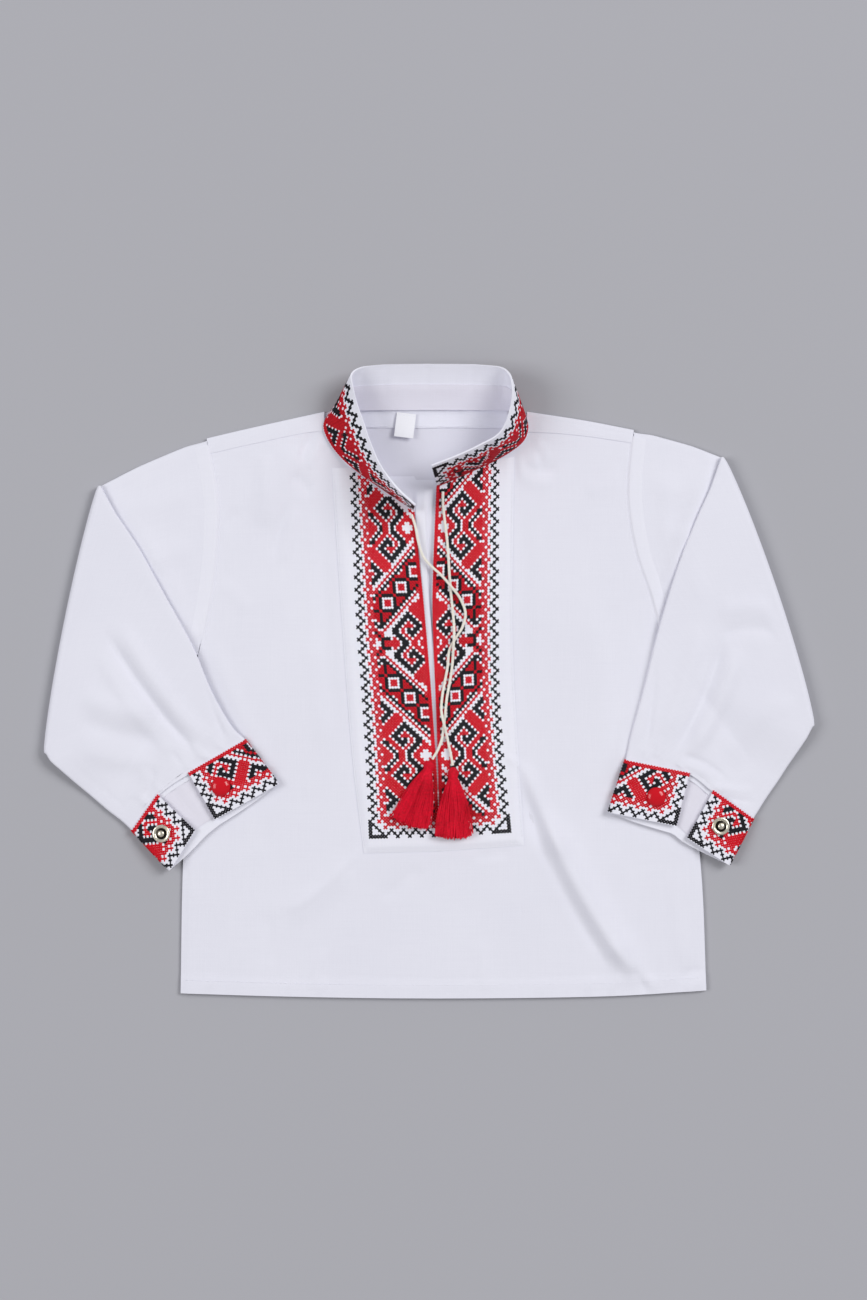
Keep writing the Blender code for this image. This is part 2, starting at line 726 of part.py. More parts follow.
def collar_place(share, up, inward=0.0):
    """A point of the collar band: share along it, up from its seam, and moved towards the neck."""
    station = edge(COLLAR_STATIONS)

    def ruled(s, h):
        seam_x, seam_y, edge_x, edge_y, low = station(min(max(s, 0.0), 1.0))
        reach = math.hypot(edge_x - seam_x, edge_y - seam_y)
        rise = math.sqrt(max(COLLAR_HEIGHT**2 - reach**2, 1.0))
        return Vector((seam_x + (edge_x - seam_x) * h, seam_y + (edge_y - seam_y) * h, low + rise * h))

    step = 0.004
    along = ruled(share + step, up) - ruled(share - step, up)
    climb = ruled(share, 1.0) - ruled(share, 0.0)
    # Going from the left front end round the back to the right, the neck is on the right-hand side.
    towards_neck = along.cross(climb).normalized()
    bow = -COLLAR_BOW * 4 * up * (1 - up)
    return ruled(share, up) + towards_neck * (bow + inward)


def collar(shirt, finish):
    def place(column, row):
        return collar_place(column / COLLAR_COLUMNS, row / COLLAR_ROWS)

    return cloth("collar", COLLAR_COLUMNS, COLLAR_ROWS, place, COLLAR_WALL, shirt, finish)


def collar_facing(shirt, finish):
    rows = 2
    inward = COLLAR_WALL / 2 + FACING_GAP + CLOTH / 2
    low, high = FACING_SPAN

    def place(column, row):
        share = min(max(column / COLLAR_COLUMNS, 0.01), 0.99)
        return collar_place(share, low + (high - low) * row / rows, inward)

    return cloth("collar_facing", COLLAR_COLUMNS, rows, place, CLOTH, shirt, finish)


def neck_tape(shirt, finish):
    columns = 8
    height = BACK_MIDDLE + CLOTH + SEAM_GAP

    def place(column, row):
        x = TAPE["left"] + (TAPE["right"] - TAPE["left"]) * column / columns
        return [x, TAPE["bottom"] + (TAPE["top"] - TAPE["bottom"]) * row, height]

    return cloth("neck_tape", columns, 1, place, CLOTH, shirt, finish)


def size_label(shirt, finish):
    """A plain woven tag that hangs from the neck tape."""
    height = BACK_MIDDLE + 2 * (CLOTH + SEAM_GAP)
    block = bmesh.new()
    bmesh.ops.create_cube(block, size=1.0)
    bmesh.ops.scale(block, vec=Vector((LABEL["width"], LABEL["length"], CLOTH)) * MM, verts=block.verts)
    mesh = bpy.data.meshes.new("size_label")
    block.to_mesh(mesh)
    block.free()
    made = add_object("size_label", mesh, shirt, finish)
    made.location = Vector((*LABEL["middle"], height)) * MM
    made.rotation_euler.z = math.radians(LABEL["turn"])
    return made


# Snaps


def turned(name, profile, shirt, finish):
    """A round piece: a profile in the XZ plane, screwed round Z."""
    mesh = bpy.data.meshes.new(name)
    points = [(radius * MM, 0.0, height * MM) for radius, height in profile]
    mesh.from_pydata(points, [(k, k + 1) for k in range(len(points) - 1)], [])
    made = add_object(name, mesh, shirt, finish)
    spin = made.modifiers.new("turn", "SCREW")
    spin.steps = spin.render_steps = CAP_SEGMENTS
    spin.use_merge_vertices = True
    spin.merge_threshold = 0.00001
    spin.use_smooth_shade = True
    return made


def snap(name, shirt, finish):
    x, y = SNAPS[name]
    made = turned(name, CAP_PROFILE if "cap" in name else STUD_PROFILE, shirt, finish)
    reach = 4.0

    def top(px, py):
        return cuff_height(px, py) + CUFF_HALF

    lean_x = (top(x + reach, y) - top(x - reach, y)) / (2 * reach)
    lean_y = (top(x, y + reach) - top(x, y - reach)) / (2 * reach)
    normal = Vector((-lean_x, -lean_y, 1.0)).normalized()
    base = max(top(x + dx, y + dy) - lean_x * dx - lean_y * dy for dx in (-4, 0, 4) for dy in (-4, 0, 4))
    turn = Vector((0.0, 0.0, 1.0)).rotation_difference(normal).to_matrix().to_4x4()
    made.matrix_world = Matrix.Translation(Vector((x, y, base + SEAM_GAP)) * MM) @ turn
    return made


# Ties and tassels


def tie_points(route, over):
    """Points along a tie, a few diameters apart, lying on the plastron and rising over the other tie."""
    rows = [(0.0, *route[0])]
    for (x0, y0), (x1, y1) in zip(route, route[1:]):
        rows.append((rows[-1][0] + math.hypot(x1 - x0, y1 - y0), x1, y1))
    length = rows[-1][0]
    place = edge([(far / length, x, y) for far, x, y in rows])
    count = round(length / CORD_STEP)
    points = []
    for k in range(count + 1):
        x, y = place(k / count)
        lift = 0.0
        for over_x, over_y in over:
            away = math.hypot(x - over_x, y - over_y) / CORD_HUMP_REACH
            lift = max(lift, CORD_HUMP * (1 - smooth_step(away)))
        low = FRONT_MIDDLE + PLASTRON_RISE + front_rise(x, y) + CLOTH / 2
        points.append(Vector((x, y, low + SEAM_GAP + CORD_DIAMETER / 2 + lift)))
    return points


def tie(name, route, over, shirt, finish):
    """A round cord: a curve with a bevel and filled caps."""
    points = tie_points(route, over)
    line = bpy.data.curves.new(name, "CURVE")
    line.dimensions = "3D"
    line.bevel_depth = CORD_DIAMETER / 2 * MM
    line.bevel_resolution = 2
    line.use_fill_caps = True
    spline = line.splines.new("POLY")
    spline.points.add(len(points) - 1)
    for target, point in zip(spline.points, points):
        target.co = (*(point * MM), 1.0)
    line.materials.append(finish)
    made = bpy.data.objects.new(name, line)
    shirt.objects.link(made)
    return made


def lofted(mesh, rings):
    """Adds a closed body through rings of points, with its ends filled."""
    loops = [[mesh.verts.new(Vector(p) * MM) for p in ring] for ring in rings]
    count = len(loops[0])
    for low, high in zip(loops, loops[1:]):
        for k in range(count):
            n = (k + 1) % count
            mesh.faces.new((low[k], low[n], high[n], high[k]))
    mesh.faces.new(loops[0][::-1])
    mesh.faces.new(loops[-1])


def tassel(name, shirt, helpers, finish):
    """A tassel lying down: a head and upper skirt, with separate locks fused to it at their roots."""
    sides = 10
    top_x, top_y, swing, full_length = TASSELS[name]
    body = bmesh.new()
    rings = []
    for far, half_width, half_thick in TASSEL_BODY:
        ring = []
        for k in range(sides):
            angle = 2 * math.pi * k / sides
            ring.append((half_width * math.cos(angle), -far, half_thick * math.sin(angle)))
        rings.append(ring)
    lofted(body, rings)
    bmesh.ops.recalc_face_normals(body, faces=body.faces)
    mesh = bpy.data.meshes.new(name)
    body.to_mesh(mesh)
    body.free()
    made = add_object(name, mesh, shirt, finish)

    locks = bmesh.new()
    steps = 4
    for layer, level in enumerate(LOCK_LAYERS):
        for k in range(LOCKS_PER_LAYER):
            across = (k - (LOCKS_PER_LAYER - 1) / 2) / ((LOCKS_PER_LAYER - 1) / 2)
            uneven = math.sin(7.3 * k + 2.1 * layer)
            length = full_length - 2.0 * across * across + 0.8 * uneven
            rings = []
            for step in range(steps + 1):
                t = step / steps
                far = LOCK_ROOT + (length - LOCK_ROOT) * t
                root, tip = TASSEL_BODY[-1][1] - 1.4, TASSEL_HALF_SPREAD - 1.0 * layer
                middle = across * (root + (tip - root) * t**0.85)
                height = level * (1 - 0.35 * t)
                half = LOCK_HALF_WIDTH[0] + (LOCK_HALF_WIDTH[1] - LOCK_HALF_WIDTH[0]) * t
                rings.append(
                    [
                        (middle - half, -far, height - half * 0.5),
                        (middle + half, -far, height - half * 0.5),
                        (middle, -far, height + half * 0.8),
                    ]
                )
            lofted(locks, rings)
    bmesh.ops.recalc_face_normals(locks, faces=locks.faces)
    lock_mesh = bpy.data.meshes.new(name + "_locks")
    locks.to_mesh(lock_mesh)
    locks.free()
    helper = bpy.data.objects.new(name + "_locks", lock_mesh)
    helpers.objects.link(helper)
    helper.hide_render = True
    helper.display_type = "WIRE"

    low = FRONT_MIDDLE + PLASTRON_RISE + CLOTH / 2 + SEAM_GAP
    reach = max(front_rise(top_x + dx, top_y - dy) for dx in (-12, 0, 12) for dy in (0, 12, 24, 37))
    place = Vector((top_x, top_y, low + reach + 2.5))
    swung = Matrix.Rotation(math.radians(swing), 4, "Z")
    made.matrix_world = helper.matrix_world = Matrix.Translation(place * MM) @ swung
    union = made.modifiers.new("locks", "BOOLEAN")
    union.operation = "UNION"
    union.solver = "EXACT"
    union.object = helper
    return made


def main():
    for old in list(bpy.data.objects):
        bpy.data.objects.remove(old, do_unlink=True)
    shirt = bpy.data.collections.new("folk_shirt")
    helpers = bpy.data.collections.new("helpers")
    bpy.context.scene.collection.children.link(shirt)
    bpy.context.scene.collection.children.link(helpers)

    white = material("white_cloth", (0.80, 0.80, 0.88), 0.85)
    worked = material("embroidered_cloth", (0.62, 0.06, 0.08), 0.8)
    satin = material("label_satin", (0.86, 0.86, 0.88), 0.5)
    enamel = material("red_enamel", (0.65, 0.01, 0.02), 0.25)
    plated = material("plated_brass", (0.80, 0.72, 0.58), 0.25, 1.0)
    cord_yarn = material("cord_yarn", (0.86, 0.83, 0.76), 0.85)
    floss = material("red_floss", (0.62, 0.01, 0.04), 0.6)

    back_panel(shirt, white)
    front_panel(shirt, white)
    plastron(shirt, worked)
    sleeve("sleeve_left", LEFT_SLEEVE, LEFT_CUFF, -1, shirt, white)
    sleeve("sleeve_right", RIGHT_SLEEVE, RIGHT_CUFF, 1, shirt, white)
    cuff("cuff_left", LEFT_CUFF, shirt, worked)
    cuff("cuff_right", RIGHT_CUFF, shirt, worked)
    collar(shirt, worked)
    collar_facing(shirt, white)
    neck_tape(shirt, white)
    size_label(shirt, satin)
    for name in SNAPS:
        snap(name, shirt, enamel if "cap" in name else plated)
    tie("tie_left", LEFT_TIE, LEFT_TIE_OVER, shirt, cord_yarn)
    tie("tie_right", RIGHT_TIE, RIGHT_TIE_OVER, shirt, cord_yarn)
    for name in TASSELS:
        tassel(name, shirt, helpers, floss)


main()
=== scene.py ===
import math
import bpy
import numpy as np
from mathutils import Matrix, Vector


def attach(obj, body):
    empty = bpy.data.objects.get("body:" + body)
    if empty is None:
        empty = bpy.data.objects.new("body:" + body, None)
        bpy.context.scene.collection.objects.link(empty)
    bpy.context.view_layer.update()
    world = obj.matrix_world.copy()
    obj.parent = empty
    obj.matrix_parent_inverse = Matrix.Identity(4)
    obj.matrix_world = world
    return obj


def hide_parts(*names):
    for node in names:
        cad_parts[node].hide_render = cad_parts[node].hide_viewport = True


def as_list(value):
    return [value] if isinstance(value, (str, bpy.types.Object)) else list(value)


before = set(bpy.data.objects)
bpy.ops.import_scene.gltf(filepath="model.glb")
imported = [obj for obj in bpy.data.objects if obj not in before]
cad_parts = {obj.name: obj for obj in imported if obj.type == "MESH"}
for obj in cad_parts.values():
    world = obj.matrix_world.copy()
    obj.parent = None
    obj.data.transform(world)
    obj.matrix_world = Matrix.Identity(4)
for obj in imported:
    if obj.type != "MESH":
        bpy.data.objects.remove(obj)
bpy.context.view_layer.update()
mm = 0.001  # every table below is in millimetres

# where the layers lie, as in the solids
layers = {
    "backMiddle": 0.5,
    "frontMiddle": 1.8,
    "plastronRise": 1.4,
    "solidWall": 1,
    "sleeveLayer": 0.9,
    "sleeveHalf": 1.45,
    "foldRadius": 1.65,
    "forearmRest": 3.3,
    "droopFrom": 6,
    "droopReach": 30,
    "cuffLayer": 1.2,
    "cuffHalf": 1.8,
    "underarm": 0.62,
}

# the shirt's outlines: share along the edge, x, y; a repeated share is a corner
outline = {
    "sideLeft": [(0, -136.7, -171.3), (0.22, -135.6, -106), (0.44, -132.6, -42), (0.62, -127, 14.6),
                 (0.62, -127, 14.6), (0.73, -120.2, 47.6), (0.83, -117.3, 75), (0.91, -117, 100.4),
                 (1, -121, 126)],
    "sideRight": [(0, 152.1, -169.7), (0.22, 149.4, -106), (0.44, 142, -42), (0.62, 129.5, 20.1),
                  (0.62, 129.5, 20.1), (0.71, 122.2, 47.6), (0.8, 114.1, 72.3), (0.9, 109.7, 103),
                  (1, 111.4, 132)],
    "hem": [(0, -136.7, -171.3), (0.25, -71.2, -173.2), (0.5, 4.6, -174.1), (0.75, 93.8, -173),
            (1, 152.1, -169.7)],
    "slitLeft": [(0, 4.1, -174.1), (0.43, 4.1, -59.1), (0.43, 4.1, -59.1), (0.6, 1.4, -15), (0.8, -3.2, 40),
                 (0.92, -5, 76), (1, -7.2, 95.2)],
    "slitRight": [(0, 5.2, -174.1), (0.43, 5.2, -59.1), (0.43, 5.2, -59.1), (0.6, 3.6, -12), (0.8, 1.5, 45),
                  (0.92, 1.8, 84), (1, 3, 108.4)],
    "topLeft": [(0, -121, 126), (0.25, -90, 133), (0.5, -56.8, 138.6), (0.5, -56.8, 138.6),
                (0.62, -51.5, 127.6), (0.75, -38, 115.4), (1, -7.2, 95.2)],
    "topRight": [(0, 3, 108.4), (0.2, 21.5, 116.6), (0.38, 38, 124.4), (0.5, 52.2, 138), (0.5, 52.2, 138),
                 (0.75, 80, 136.2), (1, 111.4, 132)],
    "backTop": [(0, -122.3, 132.8), (0.14, -94, 139.4), (0.2727, -57.8, 147.4), (0.2727, -57.8, 147.4),
                (0.3182, -48, 150), (0.4773, 0, 150.4), (0.6364, 44.5, 150), (0.6818, 53.6, 147.4),
                (0.6818, 53.6, 147.4), (0.83, 84, 142.8), (1, 112.2, 137.4)],
    "shoulderSeam": [(0, -121.2, 126.4), (0.14, -92, 133), (0.2727, -57.6, 139), (0.6818, 53, 138.4),
                     (0.83, 82, 136.6), (1, 111.5, 132.4)],
}

# folds: start x, y, end x, y, sideways bow, height, half width
frontFolds = [
    (59, -68, 118, -168, -4, 4.2, 8),
    (-42, -98, -82, -131, 2, 1.2, 6),
    (-68, 132, -92, 82, -4, 1.6, 9),
    (47, 116, 62, 119, 2, 1.1, 5),
]
# broad swells: middle x, y, half width, half length, height
frontSwells = [
    (-85, 10, 26, 70, 1.3),
    (85, 20, 22, 60, 1.3),
    (0, -20, 38, 70, 0.8),
]
# smaller creases of the cloth itself, in the scene alone
frontCreases = [
    (51, -42, 76, -100, -2, 2.1, 4),
    (62, -72, 117, -166, -4, 1.2, 6),
    (48, -50, 108, -166, -5, -2.2, 4.5),
    (-121, 26, -84, -52, -3, 1, 5),
    (130, 34, 96, -58, 5, 2, 6),
    (98, -140, 128, -171, -2, 1.1, 3.5),
    (110, -156, 120, -172, 1, -0.8, 2.2),
    (40, -40, 54, -52, 1, 0.6, 1.8),
    (-37, -91, -78, -128, 2, 0.9, 2.2),
    (-41, -96, -82, -132, 2, -0.6, 3),
    (-4, -100, -28, -120, 1, -0.6, 4),
    (24, -98, 46, -94, 1, -0.4, 2.5),
    (-63, 137, -71, 120, -1, -1.1, 1.9),
    (-58, 134, -66, 116, -1, 0.7, 2.2),
    (-77, 114, -64, 102, 1, -0.9, 3.2),
    (-79, 99, -88, 66, 1.5, -0.7, 2.4),
    (-74, 96, -82, 64, 1.5, 0.7, 3),
    (-92, 128, -91, 96, 1, 0.8, 4.5),
    (-112, 84, -104, 94, 1, -0.5, 2.6),
    (-58, 104, -53, -34, -2, -0.8, 5),
    (-66, 30, -58, -40, 2, 0.5, 6),
    (48, 122, 72, 117, -3, -0.9, 3.4),
    (47, 116, 70, 110, -3, 0.7, 3.6),
    (57, 132, 66, 122, 1, 0.5, 2.5),
    (52, 100, 50, -20, 1, -0.5, 4),
    (88, 44, 94, -40, 4, 0.5, 7),
    (-96, -60, -122, -140, 3, 0.5, 6),
    (-92, -124, -88, -160, 2, -0.4, 5),
    (-64, -171, -58, -146, 1.5, 0.4, 3),
    (34, -172, 28, -140, 2, 0.4, 4.5),
    (142, -160, 136, -100, 3, 0.6, 4.5),
    (136, -164, 151, -158, 1, -0.7, 2),
    (140, -170, 152, -166, 1, 0.5, 1.8),
    (-122, -170, -118, -162, 0.5, 0.5, 1.4),
    (-78, -172, -74, -162, 0.5, 0.4, 1.6),
    (-61, -172, -56, -163, 0.5, 0.45, 1.4),
    (-24, -173, -20, -164, 0.5, 0.35, 1.6),
    (18, -173, 22, -164, 0.5, 0.35, 1.6),
    (60, -173, 64, -163, 0.5, 0.4, 1.5),
    (86, -172, 91, -162, 0.5, 0.5, 1.6),
    (99, -172, 105, -161, 0.5, 0.6, 1.5),
    (-118, 56, -98, 36, 2, 0.4, 4.5),
    (114, 66, 98, 38, 2, 0.4, 4.5),
    (106, 116, 84, 104, 3, 0.4, 5),
]
backCreases = [
    (-96, -150, -60, -40, 6, 0.42, 9),
    (-20, -168, -6, -70, -4, 0.36, 7),
    (60, -160, 84, -60, 5, 0.42, 8),
    (112, -150, 118, -84, -3, 0.38, 6),
    (-104, 20, -70, 96, -5, 0.4, 8),
    (-50, 40, -30, 118, 4, 0.34, 7),
    (24, 20, 44, 104, -4, 0.36, 7),
    (86, 10, 94, 104, 4, 0.42, 8),
    (-40, -60, 40, -48, 6, 0.3, 8),
    (-24, 138, -18, 112, 1, 0.25, 4),
    (22, 137, 12, 108, -1, 0.3, 4.5),
]

print("1/12 tables ready")


def smoothStep(t):
    # from 0 to 1 without a corner
    t = np.clip(t, 0.0, 1.0)
    return t * t * (3 - 2 * t)


def curve(rows):
    # a smooth line through rows of share and values, with a corner at a repeated share
    runs = [[rows[0]]]
    for before, row in zip(rows, rows[1:]):
        if row[0] == before[0]:
            runs.append([row])
        else:
            runs[-1].append(row)
    runs = [np.array(run, float) for run in runs]

    def place(shares):
        shares = np.asarray(shares, float)
        out = np.zeros(shares.shape + (runs[0].shape[1] - 1,))
        left = np.ones(shares.shape, bool)
        for number, run in enumerate(runs):
            here = left & ((shares <= run[-1, 0]) | (number == len(runs) - 1))
            left &= ~here
            last = len(run) - 1
            k = np.clip(np.searchsorted(run[:, 0], shares[here], side="right") - 1, 0, last - 1)
            low, high = np.maximum(np.arange(last + 1) - 1, 0), np.minimum(np.arange(last + 1) + 1, last)
            slope = (run[high, 1:] - run[low, 1:]) / (run[high, 0] - run[low, 0])[:, None]
            span = (run[k + 1, 0] - run[k, 0])[:, None]
            t = (shares[here] - run[k, 0])[:, None] / span
            out[here] = (
                (2 * t**3 - 3 * t**2 + 1) * run[k, 1:]
                + (t**3 - 2 * t**2 + t) * span * slope[k]
                + (3 * t**2 - 2 * t**3) * run[k + 1, 1:]
                + (t**3 - t**2) * span * slope[k + 1]
            )
        return out

    return place


def patch(bottom, top, left, right):
    # fills four edges that meet at their ends
    bottom, top, left, right = curve(bottom), curve(top), curve(left), curve(right)

    def place(across, up):
        across, up = np.asarray(across, float), np.asarray(up, float)
        u, v = across[..., None], up[..., None]
        ends = [edge(np.array(end)) for edge, end in ((bottom, 0.0), (bottom, 1.0), (top, 0.0), (top, 1.0))]
        corners = ((1 - u) * (1 - v) * ends[0] + u * (1 - v) * ends[1]
                   + (1 - u) * v * ends[2] + u * v * ends[3])
        return (1 - v) * bottom(across) + v * top(across) + (1 - u) * left(up) + u * right(up) - corners

    return place


def stretchOf(rows, low, high):
    # a part of a curve as rows of its own
    place = curve(rows)
    return [(k / 6, *place(np.array(low + (high - low) * k / 6))) for k in range(7)]


def withEnd(rows, last):
    # the same rows, ending at another place
    return [*rows[:-1], (1.0, last[1], last[2])]


def byLength(points):
    # rows of share and place, from places alone
    far = [0.0]
    for a, b in zip(points, points[1:]):
        far.append(far[-1] + math.dist(a, b))
    return [(d / far[-1], *p) for d, p in zip(far, points)], far[-1]


def farAlong(points):
    # how far along a line each of its points lies
    return np.concatenate([[0.0], np.cumsum(np.linalg.norm(np.diff(points, axis=0), axis=1))])


def creaseHeight(folds, x, y):
    # rounded ridges along bowed lines, fading out at both ends
    total = np.zeros(np.shape(x))
    for x0, y0, x1, y1, bow, height, halfWidth in folds:
        length = math.hypot(x1 - x0, y1 - y0)
        ux, uy = (x1 - x0) / length, (y1 - y0) / length
        along = ((x - x0) * ux + (y - y0) * uy) / length
        side = (x - x0) * -uy + (y - y0) * ux - bow * 4 * along * (1 - along)
        ends = smoothStep(along / 0.25) * smoothStep((1 - along) / 0.25)
        total += height * np.exp(-np.minimum((side / halfWidth) ** 2, 60.0)) * ends
    return total


def solidRise(x, y):
    # the front's swells and folds, as in the solids
    swell = sum(h * np.exp(-(((x - mx) / w) ** 2) - ((y - my) / l) ** 2) for mx, my, w, l, h in frontSwells)
    return swell + creaseHeight(frontFolds, x, y)


def frontRise(x, y):
    return solidRise(x, y) + creaseHeight(frontCreases, x, y)


# Finishes


class Flow:
    # a value between nodes, so that its sums read as Python
    def __init__(self, finish, socket):
        self.finish, self.socket = finish, socket

    def sum(self, operation, first, second):
        return self.finish.node("ShaderNodeMath", {"operation": operation}, {0: first, 1: second})

    def __add__(self, other):
        return self.sum("ADD", self, other)

    def __sub__(self, other):
        return self.sum("SUBTRACT", self, other)

    def __mul__(self, other):
        return self.sum("MULTIPLY", self, other)

    def __radd__(self, other):
        return self.sum("ADD", other, self)

    def __rsub__(self, other):
        return self.sum("SUBTRACT", other, self)

    def __rmul__(self, other):
        return self.sum("MULTIPLY", other, self)


class Finish:
    def __init__(self, name, **fixed):
        self.material = bpy.data.materials.new(name)
        self.material.use_nodes = True
        self.tree = self.material.node_tree
        self.shader = self.tree.nodes["Principled BSDF"]
        for socket, value in fixed.items():
            self.shader.inputs[socket.replace("_", " ")].default_value = value

    def node(self, kind, settings=None, sockets=None, output=0):
        made = self.tree.nodes.new(kind)
        for key, value in (settings or {}).items():
            if key == "stops":
                for _ in value[2:]:
                    made.color_ramp.elements.new(0.5)
                for stop, (place, colour) in zip(made.color_ramp.elements, value):
                    stop.position, stop.color = place, (*colour, 1.0)
            else:
                setattr(made, key, value)
        for key, value in (sockets or {}).items():
            if isinstance(value, Flow):
                self.tree.links.new(value.socket, made.inputs[key])
            else:
                made.inputs[key].default_value = value
        return Flow(self, made.outputs[output])

    def feed(self, socket, flow):
        self.tree.links.new(flow.socket, self.shader.inputs[socket])

    def mix(self, share, first, second):
        return self.node("ShaderNodeMix", {"data_type": "RGBA"}, {0: share, 6: first, 7: second}, 2)

    def place(self):
        return self.node("ShaderNodeTexCoord", output=3)

    def dyed(self, mixture, low, shade, high, light):
        # an uneven colour from shade to light, and the share that it follows
        tone = self.node("ShaderNodeMath", {"operation": "MULTIPLY", "use_clamp": True}, {0: mixture, 1: 1.0})
        return self.node("ShaderNodeValToRGB", {"stops": [(low, shade), (high, light)]}, {0: tone}), tone

    def noise(self, place, scale, detail=2.0, roughness=0.5):
        return self.node("ShaderNodeTexNoise", None,
                         {"Vector": place, "Scale": scale, "Detail": detail, "Roughness": roughness})

    def stretched(self, place, sizes):
        return self.node("ShaderNodeMapping", None, {"Vector": place, "Scale": sizes})

    def bump(self, height, strength, distance):
        self.feed("Normal", self.node("ShaderNodeBump", None,
                                      {"Height": height, "Strength": strength, "Distance": distance}))


def clothFinish(name, light, shade, thread=0.36, inside=None):
    # plain weave with slubs, in the cloth's own flat measure in metres
    finish = Finish(name, Sheen_Weight=0.12, Sheen_Roughness=0.5, Specular_IOR_Level=0.25)
    flat = finish.node("ShaderNodeTexCoord", output=2)
    turn = 2 * math.pi / (thread * mm)
    warp, weft = [finish.node("ShaderNodeMath", {"operation": "SINE"},
                              {0: finish.node("ShaderNodeSeparateXYZ", None, {0: flat}, way) * turn})
                  for way in (0, 1)]
    weave = 0.5 + 0.25 * (warp * weft + 0.6 * warp + 0.4 * weft)
    warpSlubs = finish.noise(finish.stretched(flat, (1700.0, 42.0, 1.0)), 1.0, 2.0, 0.6)
    weftSlubs = finish.noise(finish.stretched(flat, (36.0, 1500.0, 1.0)), 1.0, 2.0, 0.6)
    cloudy = finish.noise(finish.place(), 14.0, 3.0, 0.55)
    slubs = 0.5 * (warpSlubs + weftSlubs)
    colour, tone = finish.dyed(0.45 * cloudy + 0.55 * slubs + 0.22 * (weave - 0.5), 0.3, shade, 0.7, light)
    if inside:
        # painted shade: low down, where the back shows inside the neck, the cloth is painted in greyer tones
        # for the shade there
        height = finish.node("ShaderNodeSeparateXYZ", None, {0: finish.place()}, 2)
        low = finish.node("ShaderNodeMapRange", {"interpolation_type": "SMOOTHSTEP"},
                          {0: height, 1: 0.0011, 2: 0.0016, 3: 1.0, 4: 0.0})
        colour = finish.mix(low, colour, finish.mix(tone, (*inside[1], 1.0), (*inside[0], 1.0)))
    finish.feed("Base Color", colour)
    finish.feed("Roughness", 0.86 + 0.1 * (cloudy - 0.5))
    finish.bump(weave + 1.4 * slubs, 0.35, 0.00012)
    return finish.material


def flossFinish(name, light, shade, roughness, grain=1500.0, sheen=0.02):
    # shiny embroidery thread, with its fine strands and uneven dye
    finish = Finish(name, Sheen_Weight=sheen, Sheen_Roughness=0.35, Specular_IOR_Level=0.22)
    place = finish.place()
    strands = finish.noise(finish.stretched(place, (1.0, 1.0, 0.4)), grain, 2.0, 0.6)
    patchy = finish.noise(place, 95.0, 2.0, 0.5)
    finish.feed("Base Color", finish.dyed(0.6 * strands + 0.4 * patchy, 0.32, shade, 0.68, light)[0])
    finish.feed("Roughness", roughness + 0.25 * (strands - 0.5))
    finish.bump(strands, 0.4, 0.00015)
    return finish.material


def cordFinish(name, light, shade):
    # dull twisted cotton
    finish = Finish(name, Sheen_Weight=0.2, Sheen_Roughness=0.5, Specular_IOR_Level=0.25)
    place = finish.place()
    fibres = finish.noise(place, 2600.0, 3.0, 0.65)
    soiled = finish.noise(place, 120.0, 2.0, 0.5)
    finish.feed("Base Color", finish.dyed(0.5 * fibres + 0.5 * soiled, 0.3, shade, 0.7, light)[0])
    finish.feed("Roughness", 0.8 + 0.15 * (fibres - 0.5))
    finish.bump(fibres, 0.35, 0.00012)
    return finish.material


def enamelFinish(name):
    # glossy red lacquer with faint scuffs
    finish = Finish(name, Specular_IOR_Level=0.36)
    place = finish.place()
    flow = finish.noise(place, 60.0, 2.0, 0.5)
    scuffs = finish.noise(finish.stretched(place, (900.0, 160.0, 300.0)), 1.0, 3.0, 0.6)
    finish.feed("Base Color", finish.mix(flow, (0.56, 0.002, 0.010, 1.0), (0.68, 0.005, 0.018, 1.0)))
    finish.feed("Roughness", 0.05 + 0.08 * scuffs)
    finish.bump(0.6 * flow + 0.1 * scuffs, 0.06, 0.0003)
    return finish.material


def metalFinish(name, light, shade):
    # thin pale plating over brass, a little yellow, with fine rub marks
    finish = Finish(name)
    place = finish.place()
    worn = finish.noise(place, 420.0, 3.0, 0.6)
    rubbed = finish.noise(finish.stretched(place, (2200.0, 240.0, 900.0)), 1.0, 2.0, 0.6)
    finish.feed("Base Color", finish.mix(worn, (*light, 1.0), (*shade, 1.0)))
    finish.feed("Metallic", 1.0 - 0.12 * worn)
    finish.feed("Roughness", 0.24 + 0.08 * rubbed)
    finish.bump(rubbed, 0.02, 0.0002)
    return finish.material


def floorFinish(name):
    # matt pale paper
    finish = Finish(name, Specular_IOR_Level=0.1)
    place = finish.place()
    grain = finish.noise(place, 900.0, 3.0, 0.6)
    broad = finish.noise(place, 2.2, 2.0, 0.5)
    uneven = 0.8 * broad + 0.2 * grain
    finish.feed("Base Color", finish.mix(uneven, (0.418, 0.418, 0.450, 1.0), (0.436, 0.437, 0.474, 1.0)))
    finish.feed("Roughness", 0.92 + 0.06 * grain)
    return finish.material


